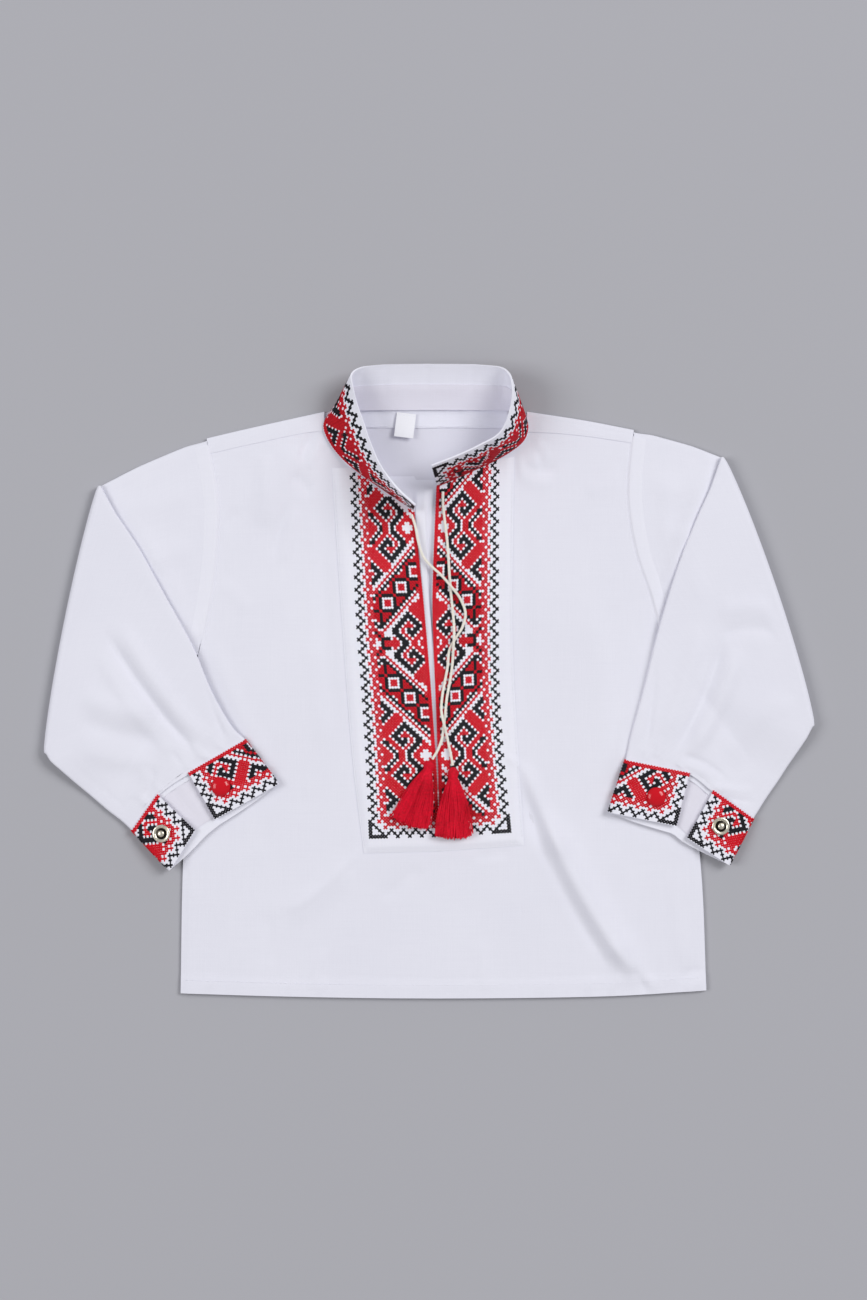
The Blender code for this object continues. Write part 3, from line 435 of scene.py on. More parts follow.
finishes = {
    "cloth": clothFinish("bleachedCotton", (0.815, 0.815, 0.9), (0.765, 0.765, 0.855)),
    # the back's cloth, with greyer tones painted low down as the shade inside the neck
    "backCloth": clothFinish("bleachedCottonBack", (0.815, 0.815, 0.9), (0.765, 0.765, 0.855),
                             inside=((0.735, 0.731, 0.812), (0.69, 0.686, 0.767))),
    # a greyer cloth, for the collar's facing and the cuffs' linings
    "innerCloth": clothFinish("greyedCotton", (0.79, 0.772, 0.862), (0.742, 0.724, 0.812)),
    "evenweave": clothFinish("evenweaveCotton", (0.86, 0.86, 0.94), (0.8, 0.8, 0.89), thread=0.42),
    "seamCloth": clothFinish("doubledCotton", (0.834, 0.834, 0.917), (0.79, 0.79, 0.877)),
    "satin": clothFinish("labelSatin", (0.9, 0.9, 0.94), (0.85, 0.85, 0.9), thread=0.22),
    "thread": cordFinish("sewingThread", (0.86, 0.86, 0.93), (0.78, 0.78, 0.86)),
    "yarn": cordFinish("ivoryYarn", (0.93, 0.9, 0.83), (0.82, 0.79, 0.71)),
    "redFloss": flossFinish("redFloss", (0.72, 0.006, 0.022), (0.52, 0.002, 0.01), 0.6),
    "blackFloss": flossFinish("blackFloss", (0.013, 0.012, 0.018), (0.004, 0.004, 0.007), 0.6),
    "blackGround": flossFinish("blackStitchGround", (0.014, 0.013, 0.018), (0.005, 0.005, 0.008), 0.8),
    "tassel": flossFinish("tasselFloss", (0.84, 0.003, 0.034), (0.52, 0.001, 0.014), 0.6, grain=900, sheen=0),
    "enamel": enamelFinish("redEnamel"),
    "metal": metalFinish("platedBrass", (0.93, 0.9, 0.8), (0.8, 0.73, 0.56)),
    # painted shade: near-black brass for the stud's well, standing for the shade in its recess
    "darkMetal": metalFinish("shadedBrass", (0.035, 0.03, 0.024), (0.014, 0.012, 0.01)),
    "floor": floorFinish("paleStudioFloor"),
}
print("2/12 finishes ready")


# Making and dressing pieces


def onlyThis(piece):
    # selects one piece and makes it active
    bpy.ops.object.select_all(action="DESELECT")
    piece.select_set(True)
    bpy.context.view_layer.objects.active = piece


def dress(piece, name, finish, replaced=()):
    # name, finish, body, and the solids that the piece stands for
    piece.name = piece.data.name = name
    piece.data.materials.clear()
    piece.data.materials.append(finishes[finish])
    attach(piece, "root")
    if replaced:
        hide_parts(*replaced)
    return piece


def giveWall(piece, wall):
    # thickness to both sides of the cloth's middle
    bpy.ops.object.modifier_add(type="SOLIDIFY")
    thicken = piece.modifiers[-1]
    thicken.thickness, thicken.offset, thicken.use_even_offset = wall * mm, 0.0, False
    bpy.ops.object.modifier_apply(modifier=thicken.name)


def pointOutwards(join=False):
    # all faces of the piece being worked on, its doubles joined first where it closes on itself
    bpy.ops.object.mode_set(mode="EDIT")
    bpy.ops.mesh.select_mode(type="VERT")
    bpy.ops.mesh.select_all(action="SELECT")
    if join:
        bpy.ops.mesh.remove_doubles(threshold=0.01 * mm)
    bpy.ops.mesh.normals_make_consistent(inside=False)
    bpy.ops.object.mode_set(mode="OBJECT")


def clothGrid(columns, rows, place, wall, keep=None, closeRound=False):
    # a grid whose points are laid one by one on the cloth's own form, then given its thickness
    bpy.ops.object.select_all(action="DESELECT")
    bpy.ops.mesh.primitive_grid_add(x_subdivisions=columns, y_subdivisions=rows, size=1.0)
    piece = bpy.context.active_object
    mesh = piece.data
    spots = np.empty(len(mesh.vertices) * 3)
    mesh.vertices.foreach_get("co", spots)
    spots = spots.reshape(-1, 3)
    column = np.rint((spots[:, 0] + 0.5) * columns).astype(int)
    row = np.rint((spots[:, 1] + 0.5) * rows).astype(int)
    points, cut = place(column, row)
    mesh.vertices.foreach_set("co", (points * mm).ravel())
    corners = np.empty(len(mesh.loops), int)
    mesh.loops.foreach_get("vertex_index", corners)
    mesh.uv_layers.active.data.foreach_set("uv", (cut[corners] * mm).ravel())
    if keep:
        cells = corners.reshape(-1, 4)
        unwanted = ~keep(column[cells].min(axis=1), row[cells].min(axis=1))
        mesh.vertices.foreach_set("select", np.zeros(len(mesh.vertices), bool))
        mesh.edges.foreach_set("select", np.zeros(len(mesh.edges), bool))
        mesh.polygons.foreach_set("select", unwanted)
        bpy.ops.object.mode_set(mode="EDIT")
        bpy.ops.mesh.select_mode(type="FACE")
        bpy.ops.mesh.delete(type="FACE")
        bpy.ops.object.mode_set(mode="OBJECT")
    pointOutwards(closeRound)
    giveWall(piece, wall)
    bpy.ops.object.shade_smooth_by_angle(angle=math.radians(50))
    return piece


def meshFromArrays(points, faces):
    # a mesh from worked-out points, in millimetres
    mesh = bpy.data.meshes.new("worked")
    mesh.from_pydata((points * mm).tolist(), [], faces)
    piece = bpy.data.objects.new("worked", mesh)
    bpy.context.scene.collection.objects.link(piece)
    onlyThis(piece)
    pointOutwards()
    return piece


def copiesOf(template, faces, centres, alongU, alongV, outward):
    # lays a small shape at every centre, in that place's own directions
    points = (
        centres[:, None, :]
        + template[None, :, 0:1] * alongU[:, None, :]
        + template[None, :, 1:2] * alongV[:, None, :]
        + template[None, :, 2:3] * outward[:, None, :]
    ).reshape(-1, 3)
    count = len(template)
    steps = np.arange(len(centres)) * count
    everyFace = []
    for face in faces:
        everyFace += (steps[:, None] + np.array(face)[None, :]).tolist()
    return points, everyFace


# Camera, and the cords before everything else

camera = {"lens": 85, "sensor": 36, "aim": (2.2, 17.3), "frameHeight": 715}


def placeCamera():
    above = camera["frameHeight"] * camera["lens"] / camera["sensor"]
    bpy.ops.object.camera_add(location=Vector((*camera["aim"], above)) * mm, rotation=(0, 0, 0))
    made = bpy.context.active_object
    made.name = "aboveTheShirt"
    made.data.lens = camera["lens"]
    made.data.sensor_fit = "VERTICAL"
    made.data.sensor_height = camera["sensor"]
    bpy.context.scene.camera = made


placeCamera()
print("3/12 camera placed")

ties = {
    "diameter": 1.6,
    "gap": 0.3,
    "step": 1,
    "ply": 3,
    "pitch": 5.2,
    "hump": 2.1,
    "humpReach": 11,
    "left": {
        "route": [(-9.9, 91.6), (-7.7, 85), (-6.2, 77), (-3.6, 69), (0.4, 63.8), (6.2, 58.6), (11.6, 52.4),
                  (16.8, 45.6), (19.7, 37.6), (18, 29.8), (14.2, 23.6), (10.9, 17), (9.9, 8), (8.2, -1),
                  (6.8, -9.6), (6.6, -16.8), (8.2, -24), (9.9, -31.6), (11.4, -38.8), (12.8, -46)],
        "over": [(11.4, 52.8), (7.9, -22.8)],
        "tassel": "right",
    },
    "right": {
        "route": [(7.4, 104.2), (7.4, 97), (8.4, 88), (9.6, 78), (10.4, 68), (11, 58), (11.8, 48),
                  (12.8, 38), (13.5, 28.4), (13.1, 19), (12.5, 9), (11.2, 0), (9.6, -8.6), (8.7, -16.6),
                  (7.9, -23.6), (7, -30.6), (4.8, -37), (1.6, -42.6)],
        "over": [(13.2, 21.6)],
        "tassel": "left",
    },
}
tassels = {
    "strands": 400,
    "strand": 0.36,
    "profile": [(0, 0.7, 0.7), (0.035, 2.3, 1.7), (0.09, 3, 2.1), (0.145, 2.1, 1.7), (0.21, 3.3, 2.1),
                (0.33, 5, 2.3), (0.45, 6.6, 2.2), (0.7, 8.8, 1.7), (1, 10.3, 1.2)],
    "wrap": {"far": 5.5, "turns": 5, "thread": 0.5, "across": 2.2, "high": 1.85},
    "left": {"top": (0.7, -43.6), "swing": -18, "length": 37.6, "seed": 3},
    "right": {"top": (12.9, -47), "swing": 0.5, "length": 39.4, "seed": 8},
}


def pressedMesh(piece):
    # the curve made a mesh
    onlyThis(piece)
    bpy.ops.object.convert(target="MESH")
    return bpy.context.active_object


def splinesOf(name, runs, bevel=None, depth=0.0, smoothness=0, tilts=None):
    # one curve object with a run of points for each thread
    line = bpy.data.curves.new(name, "CURVE")
    line.dimensions = "3D"
    line.use_fill_caps = True
    if bevel:
        line.bevel_mode, line.bevel_object = "OBJECT", bevel
    else:
        line.bevel_depth, line.bevel_resolution = depth * mm, smoothness
    for number, run in enumerate(runs):
        spline = line.splines.new("POLY")
        spline.points.add(len(run) - 1)
        spline.points.foreach_set("co", np.column_stack([run * mm, np.ones(len(run))]).ravel())
        if tilts is not None:
            for point, tilt in zip(spline.points, tilts[number]):
                point.tilt = tilt
    made = bpy.data.objects.new(name, line)
    bpy.context.scene.collection.objects.link(made)
    return made


def tieRoute(side):
    # along the photo's path, over the cloth and over the other tie where they cross
    table = ties[side]
    rows, length = byLength(table["route"])
    count = round(length / ties["step"])
    flat = curve(rows)(np.linspace(0, 1, count + 1))
    x, y = flat[:, 0], flat[:, 1]
    lift = np.zeros(len(x))
    for overX, overY in table["over"]:
        near = 1 - smoothStep(np.hypot(x - overX, y - overY) / ties["humpReach"])
        lift = np.maximum(lift, ties["hump"] * near)
    low = layers["frontMiddle"] + layers["plastronRise"] + layers["solidWall"] / 2
    z = low + ties["gap"] + ties["diameter"] / 2 + solidRise(x, y) + lift
    return np.column_stack([x, y, z])


def makeTie(side):
    # a soft twisted yarn: a lobed outline swept along the route and turned as it goes
    route = tieRoute(side)
    fine = curve([(k / (len(route) - 1), *p) for k, p in enumerate(route)])(np.linspace(0, 1, 3 * len(route)))
    far = farAlong(fine)
    angles = np.linspace(0, 2 * math.pi, 18, endpoint=False)
    radius = ties["diameter"] / 2 * (0.80 + 0.20 * np.abs(np.cos(ties["ply"] / 2 * angles)))
    outlinePoints = np.column_stack([radius * np.cos(angles), radius * np.sin(angles), angles * 0])
    lobes = splinesOf("yarnOutline", [outlinePoints])
    lobes.data.splines[0].use_cyclic_u = True
    lobes.data.dimensions = "2D"
    swept = splinesOf("tie", [fine], bevel=lobes, tilts=[2 * math.pi * far / ties["pitch"]])
    piece = pressedMesh(swept)
    bpy.data.objects.remove(lobes, do_unlink=True)
    bpy.ops.object.shade_smooth_by_angle(angle=math.radians(60))
    dress(piece, "yarnTie_" + side, "yarn", ["tie_" + side])
    return piece, route, float(far[-1])


def tasselPlace(side):
    # just over the highest cloth under the tassel
    table = tassels[side]
    x, y = table["top"]
    low = layers["frontMiddle"] + layers["plastronRise"] + layers["solidWall"] / 2 + 0.3
    across, down = np.meshgrid((-12.0, 0.0, 12.0), (0.0, 12.0, 24.0, 37.0))
    reach = solidRise(x + across, y - down).max()
    swung = Matrix.Rotation(math.radians(table["swing"]), 4, "Z")
    return Matrix.Translation(Vector((x, y, low + reach + 2.5)) * mm) @ swung


def makeTassel(side):
    # many single threads, held by a wrapped neck and fanned flat on the cloth
    table = tassels[side]
    chance = np.random.default_rng(table["seed"])
    profile = curve(tassels["profile"])
    shares = np.array([0.0, 0.02, 0.06, 0.10, 0.15, 0.20, 0.28, 0.38, 0.5, 0.63, 0.76, 0.88, 1.0])
    runs = []
    for number in range(tassels["strands"]):
        angle = 2 * math.pi * number / tassels["strands"] * 7.0
        reach = 0.35 + 0.65 * math.sqrt(chance.random())
        length = table["length"] - 0.9 - 1.8 * (reach * math.cos(angle)) ** 2 + chance.normal(0, 0.55)
        sway, phase = chance.normal(0, 0.35), chance.random() * 6.3
        spread = profile(shares)
        drift = smoothStep((shares - 0.25) / 0.5)
        x = spread[:, 0] * reach * math.cos(angle) + drift * (sway + 0.35 * np.sin(5.0 * shares + phase))
        z = spread[:, 1] * reach * math.sin(angle) * (1 - 0.25 * drift)
        runs.append(np.column_stack([x, -shares * length, z]))
    threads = pressedMesh(splinesOf("threads", runs, depth=tassels["strand"] / 2, smoothness=0))
    bpy.ops.object.shade_smooth()
    threads.data.transform(tasselPlace(side))
    dress(threads, "tasselThreads_" + side, "tassel", ["tassel_" + side])

    wrap = tassels["wrap"]
    turns = np.linspace(0, wrap["turns"] * 2 * math.pi, wrap["turns"] * 20 + 1)
    down = -wrap["far"] + wrap["thread"] * 0.75 * (turns / (2 * math.pi) - wrap["turns"] / 2)
    ring = np.column_stack([wrap["across"] * np.cos(turns), down, wrap["high"] * np.sin(turns)])
    neck = pressedMesh(splinesOf("wrap", [ring], depth=wrap["thread"] / 2, smoothness=2))
    bpy.ops.object.shade_smooth()
    neck.data.transform(tasselPlace(side))
    dress(neck, "tasselWrap_" + side, "tassel")
    return [threads, neck]


ends = {side: makeTassel(side) for side in ("left", "right")}
for side in ("left", "right"):
    yarn, route, reach = makeTie(side)
    print("   tie", side, round(reach, 1), "mm")
print("4/12 ties and tassels made")

# Body

body = {"wall": 0.5, "hemDepth": 8.5, "hemRise": 0.42, "hemLeft": -136.7, "hemWidth": 288.8, "halfWidth": 135,
        "sideLow": -171, "sideLength": 300, "strips": (30, 75), "sideTuck": 0.75, "tuckReach": 5}
bodyParts = {
    "front": patch(stretchOf(outline["hem"], 0, 0.498), outline["topLeft"], outline["sideLeft"],
                   outline["slitLeft"]),
    "frontRight": patch(stretchOf(outline["hem"], 0.502, 1), outline["topRight"], outline["slitRight"],
                        outline["sideRight"]),
    "back": patch(outline["hem"], outline["backTop"], withEnd(outline["sideLeft"], outline["backTop"][0]),
                  withEnd(outline["sideRight"], outline["backTop"][-1])),
}


def hemStep(y, hemY):
    # the turned hem stands a little proud of the cloth above it
    return body["hemRise"] * (1 - smoothStep(y - hemY - body["hemDepth"] + 0.5))


def makeBack():
    # one grid whose last rows turn over the shoulders to the front's seam
    columns, rows, turnRows, stripRows = 110, 100, 6, 6
    top, seam = curve(outline["backTop"]), curve(outline["shoulderSeam"])
    low, high = layers["backMiddle"], layers["frontMiddle"]

    def place(column, row):
        across = column / columns
        up = np.minimum(row / rows, 1.0)
        flat = bodyParts["back"](across, up)
        x, y = flat[:, 0], flat[:, 1]
        edges = smoothStep(np.minimum(across, 1 - across) / 0.06) * smoothStep((1 - up) / 0.05)
        z = low + creaseHeight(backCreases, x, y) * edges
        turn = np.clip((row - rows) / turnRows, 0, 1) * math.pi
        over = np.clip((row - rows - turnRows) / stripRows, 0, 1)
        y = y + (high - low) / 2 * np.sin(turn)
        z = z + (high - low) / 2 * (1 - np.cos(turn))
        target = seam(across)
        x = x + (target[:, 0] - x) * over
        y = y + (target[:, 1] - 1.4 - y) * over
        z = z + (0.36 + np.maximum(frontRise(x, y), 0.0)) * smoothStep(over * 1.3)
        return np.column_stack([x, y, z]), np.column_stack([x, y + 20 * over])

    def keep(column, row):
        return (row < rows) | (column < body["strips"][0]) | (column >= body["strips"][1])

    piece = clothGrid(columns, rows + turnRows + stripRows, place, body["wall"], keep)
    return dress(piece, "backCloth", "backCloth", ["back"])


def makeFront():
    # one grid, opened from the slit's lower end to the neck
    half, rightHalf = 84, 98
    columns = half + 1 + rightHalf
    shares = np.concatenate([np.linspace(0, 0.43, 61), np.linspace(0.43, 0.62, 27)[1:],
                             np.linspace(0.62, 1, 55)[1:]])
    rows, slitRow = len(shares) - 1, 60

    def place(column, row):
        up = shares[row]
        isLeft = column <= half
        across = np.where(isLeft, column / half, (column - half - 1) / rightHalf)
        flat = np.where(isLeft[:, None], bodyParts["front"](across, up), bodyParts["frontRight"](across, up))
        x, y = flat[:, 0], flat[:, 1]
        hemY = curve(outline["hem"])(np.clip((x - body["hemLeft"]) / body["hemWidth"], 0, 1))[:, 1]
        side = np.where(isLeft, across, 1 - across) * body["halfWidth"]
        below = smoothStep((layers["underarm"] - up) / 0.04)
        tuck = body["sideTuck"] * (1 - smoothStep(side / body["tuckReach"])) * below
        z = layers["frontMiddle"] + frontRise(x, y) + hemStep(y, hemY) - tuck
        return np.column_stack([x, y, z]), np.column_stack([x, y])

    def keep(column, row):
        return (column != half) | (row < slitRow)

    piece = clothGrid(columns, rows, place, body["wall"], keep)
    return dress(piece, "frontCloth", "cloth", ["front"])


backCloth = makeBack()
frontCloth = makeFront()
print("5/12 body laid")

# Embroidered panel, and the facing strip under its slit

plastron = {
    "wall": 0.5,
    "halfWidth": 45,
    "length": 212,
    "edgeReach": 4.2,
    "left": [(0, -36, -94.3), (0.27, -42, -45), (0.6, -47.4, 24), (1, -53.6, 117)],
    "right": [(0, 52, -89.9), (0.25, 49, -42), (0.55, 45.6, 24), (1, 46.5, 123.4)],
    "bottomLeft": [(0, -36, -94.3), (1, 4, -93.2)],
    "bottomRight": [(0, 5.3, -93.2), (1, 52, -89.9)],
    "topLeft": [(0, -53.6, 117), (0.2, -44, 117.6), (0.2, -44, 117.6), (0.6, -27.6, 105.2),
                (1, -8.6, 93.6)],
    "topRight": [(0, 4.1, 107), (0.45, 21.6, 114.8), (0.82, 38.6, 122.4), (0.82, 38.6, 122.4),
                 (1, 46.5, 123.4)],
    "slitLeft": [(0, 4, -93.2), (0.18, 4, -59.7), (0.18, 4, -59.7), (0.45, 1, -12), (0.75, -3.6, 43),
                 (1, -8.6, 93.6)],
    "slitRight": [(0, 5.3, -93.2), (0.18, 5.3, -59.7), (0.18, 5.3, -59.7), (0.45, 3.8, -12), (0.75, 2, 43),
                  (1, 4.1, 107)],
    "slitShare": 0.18,
}


def makePlastron():
    # the applied panel, sunk at its outer edges and turned in at the slit
    half, rows, slitRow = 44, 150, 27
    columns = 2 * half + 3
    left = patch(plastron["bottomLeft"], plastron["topLeft"], plastron["left"], plastron["slitLeft"])
    right = patch(plastron["bottomRight"], plastron["topRight"], plastron["slitRight"], plastron["right"])
    drop = layers["plastronRise"] - 0.30

    def place(column, row):
        below = plastron["slitShare"]
        up = np.where(row <= slitRow, row / slitRow * below,
                      below + (row - slitRow) / (rows - slitRow) * (1 - below))
        isLeft = column <= half + 1
        across = np.where(isLeft, np.minimum(column / half, 1.0), np.maximum((column - half - 3) / half, 0.0))
        flat = np.where(isLeft[:, None], left(across, up), right(across, up))
        x, y = flat[:, 0], flat[:, 1]
        fromEdge = np.where(isLeft, across, 1 - across) * plastron["halfWidth"]
        fromHem = up * plastron["length"]
        z = layers["frontMiddle"] + layers["plastronRise"] + frontRise(x, y)
        z -= drop * (1 - smoothStep(np.minimum(fromEdge, fromHem) / plastron["edgeReach"]))
        turned = (column == half + 1) | (column == half + 2)
        z = np.where(turned & (row > slitRow), layers["frontMiddle"] + 0.52 + frontRise(x, y), z)
        return np.column_stack([x, y, z]), np.column_stack([x, y])

    def keep(column, row):
        return (column != half + 1) | (row < slitRow)

    piece = clothGrid(columns, rows, place, plastron["wall"], keep)
    return dress(piece, "plastronCloth", "evenweave", ["plastron"])


placket = {
    "wall": 0.3,
    "middle": 1.15,
    "bottom": [(0, -6, -66), (1, 14, -66)],
    "top": [(0, -25.5, 112.8), (0.35, -15, 112), (0.7, -6.2, 109.2), (1, 8, 108.6)],
    "left": [(0, -6, -66), (0.3, -7.5, -12), (0.6, -12, 42), (0.8, -18, 78), (1, -25.5, 112.8)],
    "right": [(0, 14, -66), (0.3, 13, -12), (0.6, 11, 45), (0.8, 11, 80), (1, 8, 108.6)],
}


def makePlacket():
    # under the cloth on either side, and a little puffed up inside the slit
    shape = patch(placket["bottom"], placket["top"], placket["left"], placket["right"])
    (leftX, leftY), (rightX, rightY) = [np.array(plastron[key][2:])[:, 1:].T
                                        for key in ("slitLeft", "slitRight")]

    def place(column, row):
        flat = shape(np.select([column < 9, column > 19], [column * 0.0, column * 0.0 + 1.0], 0.5), row / 90)
        y = flat[:, 1]
        low, high = np.interp(y, leftY, leftX) + 0.18, np.interp(y, rightY, rightX) - 0.18
        low, high = np.minimum(low, (low + high) / 2 - 0.05), np.maximum(high, (low + high) / 2 + 0.05)
        inside = low + (high - low) * np.clip((column - 8) / 12, 0, 1)
        x = np.where(column < 9, flat[:, 0] + (low - flat[:, 0]) * column / 8,
                     np.where(column > 19, high + (flat[:, 0] - high) * (column - 20) / 8, inside))
        # the whole width low down, and the left side alone where the slit opens
        rightEnd = 20.5 - 5.0 * smoothStep((y - 5) / 50)
        puff = smoothStep(np.minimum(column - 7.5, rightEnd - column) / 1.6) * smoothStep((y + 62) / 6)
        ripple = 0.10 * np.sin(y / 9.0) * np.sin(math.pi * column / 28)
        z = placket["middle"] + ripple + 1.7 * puff * (1 - smoothStep((y - 97) / 11))
        return np.column_stack([x, y, z]), np.column_stack([x, y])

    piece = clothGrid(28, 90, place, placket["wall"])
    return dress(piece, "slitFacing", "seamCloth")


plastronCloth = makePlastron()
slitFacing = makePlacket()
print("6/12 panel and slit facing laid")

# Sleeves

sleeves = {
    "wall": 0.5,
    "upperRows": 36,
    "foldRows": 12,
    "lowerRows": 76,
    "flatColumns": 58,
    "turnColumns": 5,
    "armholeGap": 0.25,
    "bowFullness": 0.7,
    "cornerShare": 0.06,
    "settleRows": 10,
    "elbowTurn": 1.5,
    "pleatsFrom": 0.74,
    "pleatsReach": 0.2,
    "underCuff": 1.3,
    "left": {
        "sign": -1,
        "sections": [(-121.6, 134, -127.4, 14, -9.5), (-139, 127.2, -148, -0.5, -6),
                     (-160, 118.2, -177, -18, -1), (-182.3, 108.1, -212.2, -39.6, 3.4)],
        "forearm": [(-182.3, 108.1, -212.2, -39.6, 3.4), (-172, 92.5, -207.6, -44.4, 2),
                    (-159.2, 73.4, -200.4, -50.8, 1), (-145.5, 48.6, -193.2, -57.2, 0.5),
                    (-130.1, 20.6, -185, -64.2, 0), (-119.4, -4.7, -176.8, -71.2, 0),
                    (-108.6, -23.6, -169.5, -76.8, 0), (-101.5, -30.9, -164.7, -81.3, 0)],
        "creases": [(-180, 31, -124, -43, -3, -1.7, 2.4), (-172, 36, -117, -38, -4, 2.2, 4.6),
                    (-184, 22, -136, -44, -4, 0.9, 4), (-123, 2, -111, -34, -1, -2, 1.3),
                    (-118, -8, -106, -32, -1, 1.4, 2.2), (-196, -20, -140, -32, -3, -1.3, 5.5),
                    (-194, -6, -150, -18, -3, 1.1, 6), (-194, -36, -148, -44, -3, 0.9, 5),
                    (-151, -46, -158, -64, 2, -0.7, 1.4), (-156, -46, -164, -66, 2, 0.5, 2.2),
                    (-160, 66, -128, 14, 3, 0.9, 5), (-196, 60, -206, 0, -2, 0.5, 4),
                    (-142, -38, -136, -46, 0.5, -0.5, 1.2), (-131, -34, -126, -42, 0.5, 0.6, 1.4),
                    (-207, -38, -163, -73, 0.5, -0.45, 1)],
        "armCreases": [(-194, 134, -113, -6, 3, 1.8, 4.5), (-126, 108, -170, 96, 4, 0.7, 7),
                       (-128, 74, -156, 60, -3, 0.7, 6), (-160, 108, -144, 60, -3, 0.6, 6),
                       (-150, 118, -178, 60, -4, 0.5, 8)],
        "pleats": [(0.14, 0.5, 0.02), (0.27, 0.9, 0.026), (0.4, 0.4, 0.018), (0.66, 0.5, 0.02),
                   (0.8, 0.8, 0.026)],
    },
    "right": {
        "sign": 1,
        "sections": [(112, 138.6, 130.2, 19.6, -8.5), (127, 134.4, 150, 7, -5), (144, 129.6, 180, -7.5, -2),
                     (161.8, 124, 212, -24.6, 4.4)],
        "forearm": [(161.8, 124, 212, -24.6, 4.4), (154, 106.5, 207, -31.4, 3.2),
                    (145.5, 87.7, 202, -39, 2), (136, 63.5, 197, -46.5, 1.5),
                    (125.5, 29.4, 192, -54.5, 0.5), (117.6, -2, 186.5, -62.5, 0),
                    (110.6, -27, 182, -69.5, 0), (107.5, -39.6, 179.2, -74.8, 0)],
        "creases": [(162, 27, 132, -43, 3.5, -1.6, 2.6), (170, 22, 140, -44, 4, 2, 4.6),
                    (150, 34, 124, -38, 2, 1.3, 4.6), (123, 20, 118, -40, 1.5, -2, 1.4),
                    (118, 0, 111, -37, 0.5, 1.4, 2.4), (158, 24, 192, 26, 4, -0.9, 3.6),
                    (156, 36, 190, 38, 4, 1, 5), (200, -6, 164, -48, -6, 1.2, 8),
                    (148, -60, 182, -66, -1.5, -0.7, 1.6), (148, -55, 180, -60, -1.5, 0.6, 2.2),
                    (136, -40, 164, -55, 3, -0.7, 1.4), (136, -45, 158, -56, 2, 0.5, 1.8),
                    (146, 92, 150, 40, -4, 0.6, 5.5), (206, -24, 177, -66, 0.5, -0.45, 1),
                    (126, -30, 123, -42, 0.5, 0.6, 1.6)],
        "armCreases": [(170, 152, 110, -20, -5, 1.8, 4.5), (114, 112, 152, 108, -4, 0.7, 7),
                       (124, 80, 148, 76, 3, 0.7, 6), (134, 120, 128, 60, -3, 0.6, 5),
                       (140, 124, 158, 70, 4, 0.5, 8)],
        "pleats": [(0.12, 0.6, 0.022), (0.25, 0.4, 0.018), (0.38, 0.9, 0.026), (0.7, 0.7, 0.024),
                   (0.86, 0.4, 0.018)],
    },
}
# cuffs: x and y on the edge sewn to the sleeve, x and y on the free edge
cuffs = {
    "wall": 0.7,
    "depth": 30,
    "half": 78,
    "stitchMargin": 0.3,
    "stitchStep": 1.625,
    "stitchBreadth": 18,
    "stitchMiddle": 5,
    "left": {"cap": (-132.3, -49.6, -117.2, -75.5), "near": (-101.1, -31.3, -82.4, -55.8),
             "far": (-164.2, -81.7, -143.1, -103.9), "stud": (-149.4, -61.6, -128.5, -81.8), "outward": -1},
    "right": {"cap": (142.6, -49.8, 135, -79.2), "near": (107.2, -42.3, 97.7, -71.2),
              "far": (178.5, -75.1, 165, -100.9), "stud": (155.8, -59.3, 141.3, -85.9), "outward": 1},
}


def forearmSupport(side, x, y):
    # the body and the upper arm hold the folded sleeve up, and past them it droops to the floor
    table = sleeves[side]
    sign, first, last = table["sign"], table["sections"][0], table["sections"][3]
    upSide = np.clip((y - body["sideLow"]) / body["sideLength"], 0.0, layers["underarm"])
    pastBody = sign * (x - curve(outline["sideLeft" if sign < 0 else "sideRight"])(upSide)[..., 0])
    length = math.hypot(last[2] - first[2], last[3] - first[3])
    pastArm = sign * ((x - first[2]) * (last[3] - first[3]) - (y - first[3]) * (last[2] - first[2])) / length
    past = np.minimum(pastBody, pastArm) - layers["droopFrom"]
    return layers["forearmRest"] * (1 - smoothStep(past / layers["droopReach"]))


def cuffLine(side, end):
    # the line through a cuff's four marks, at its seam or its free edge
    pick = slice(0, 2) if end == "seam" else slice(2, 4)
    rows, length = byLength([cuffs[side][key][pick] for key in ("near", "cap", "stud", "far")])
    return curve(rows)


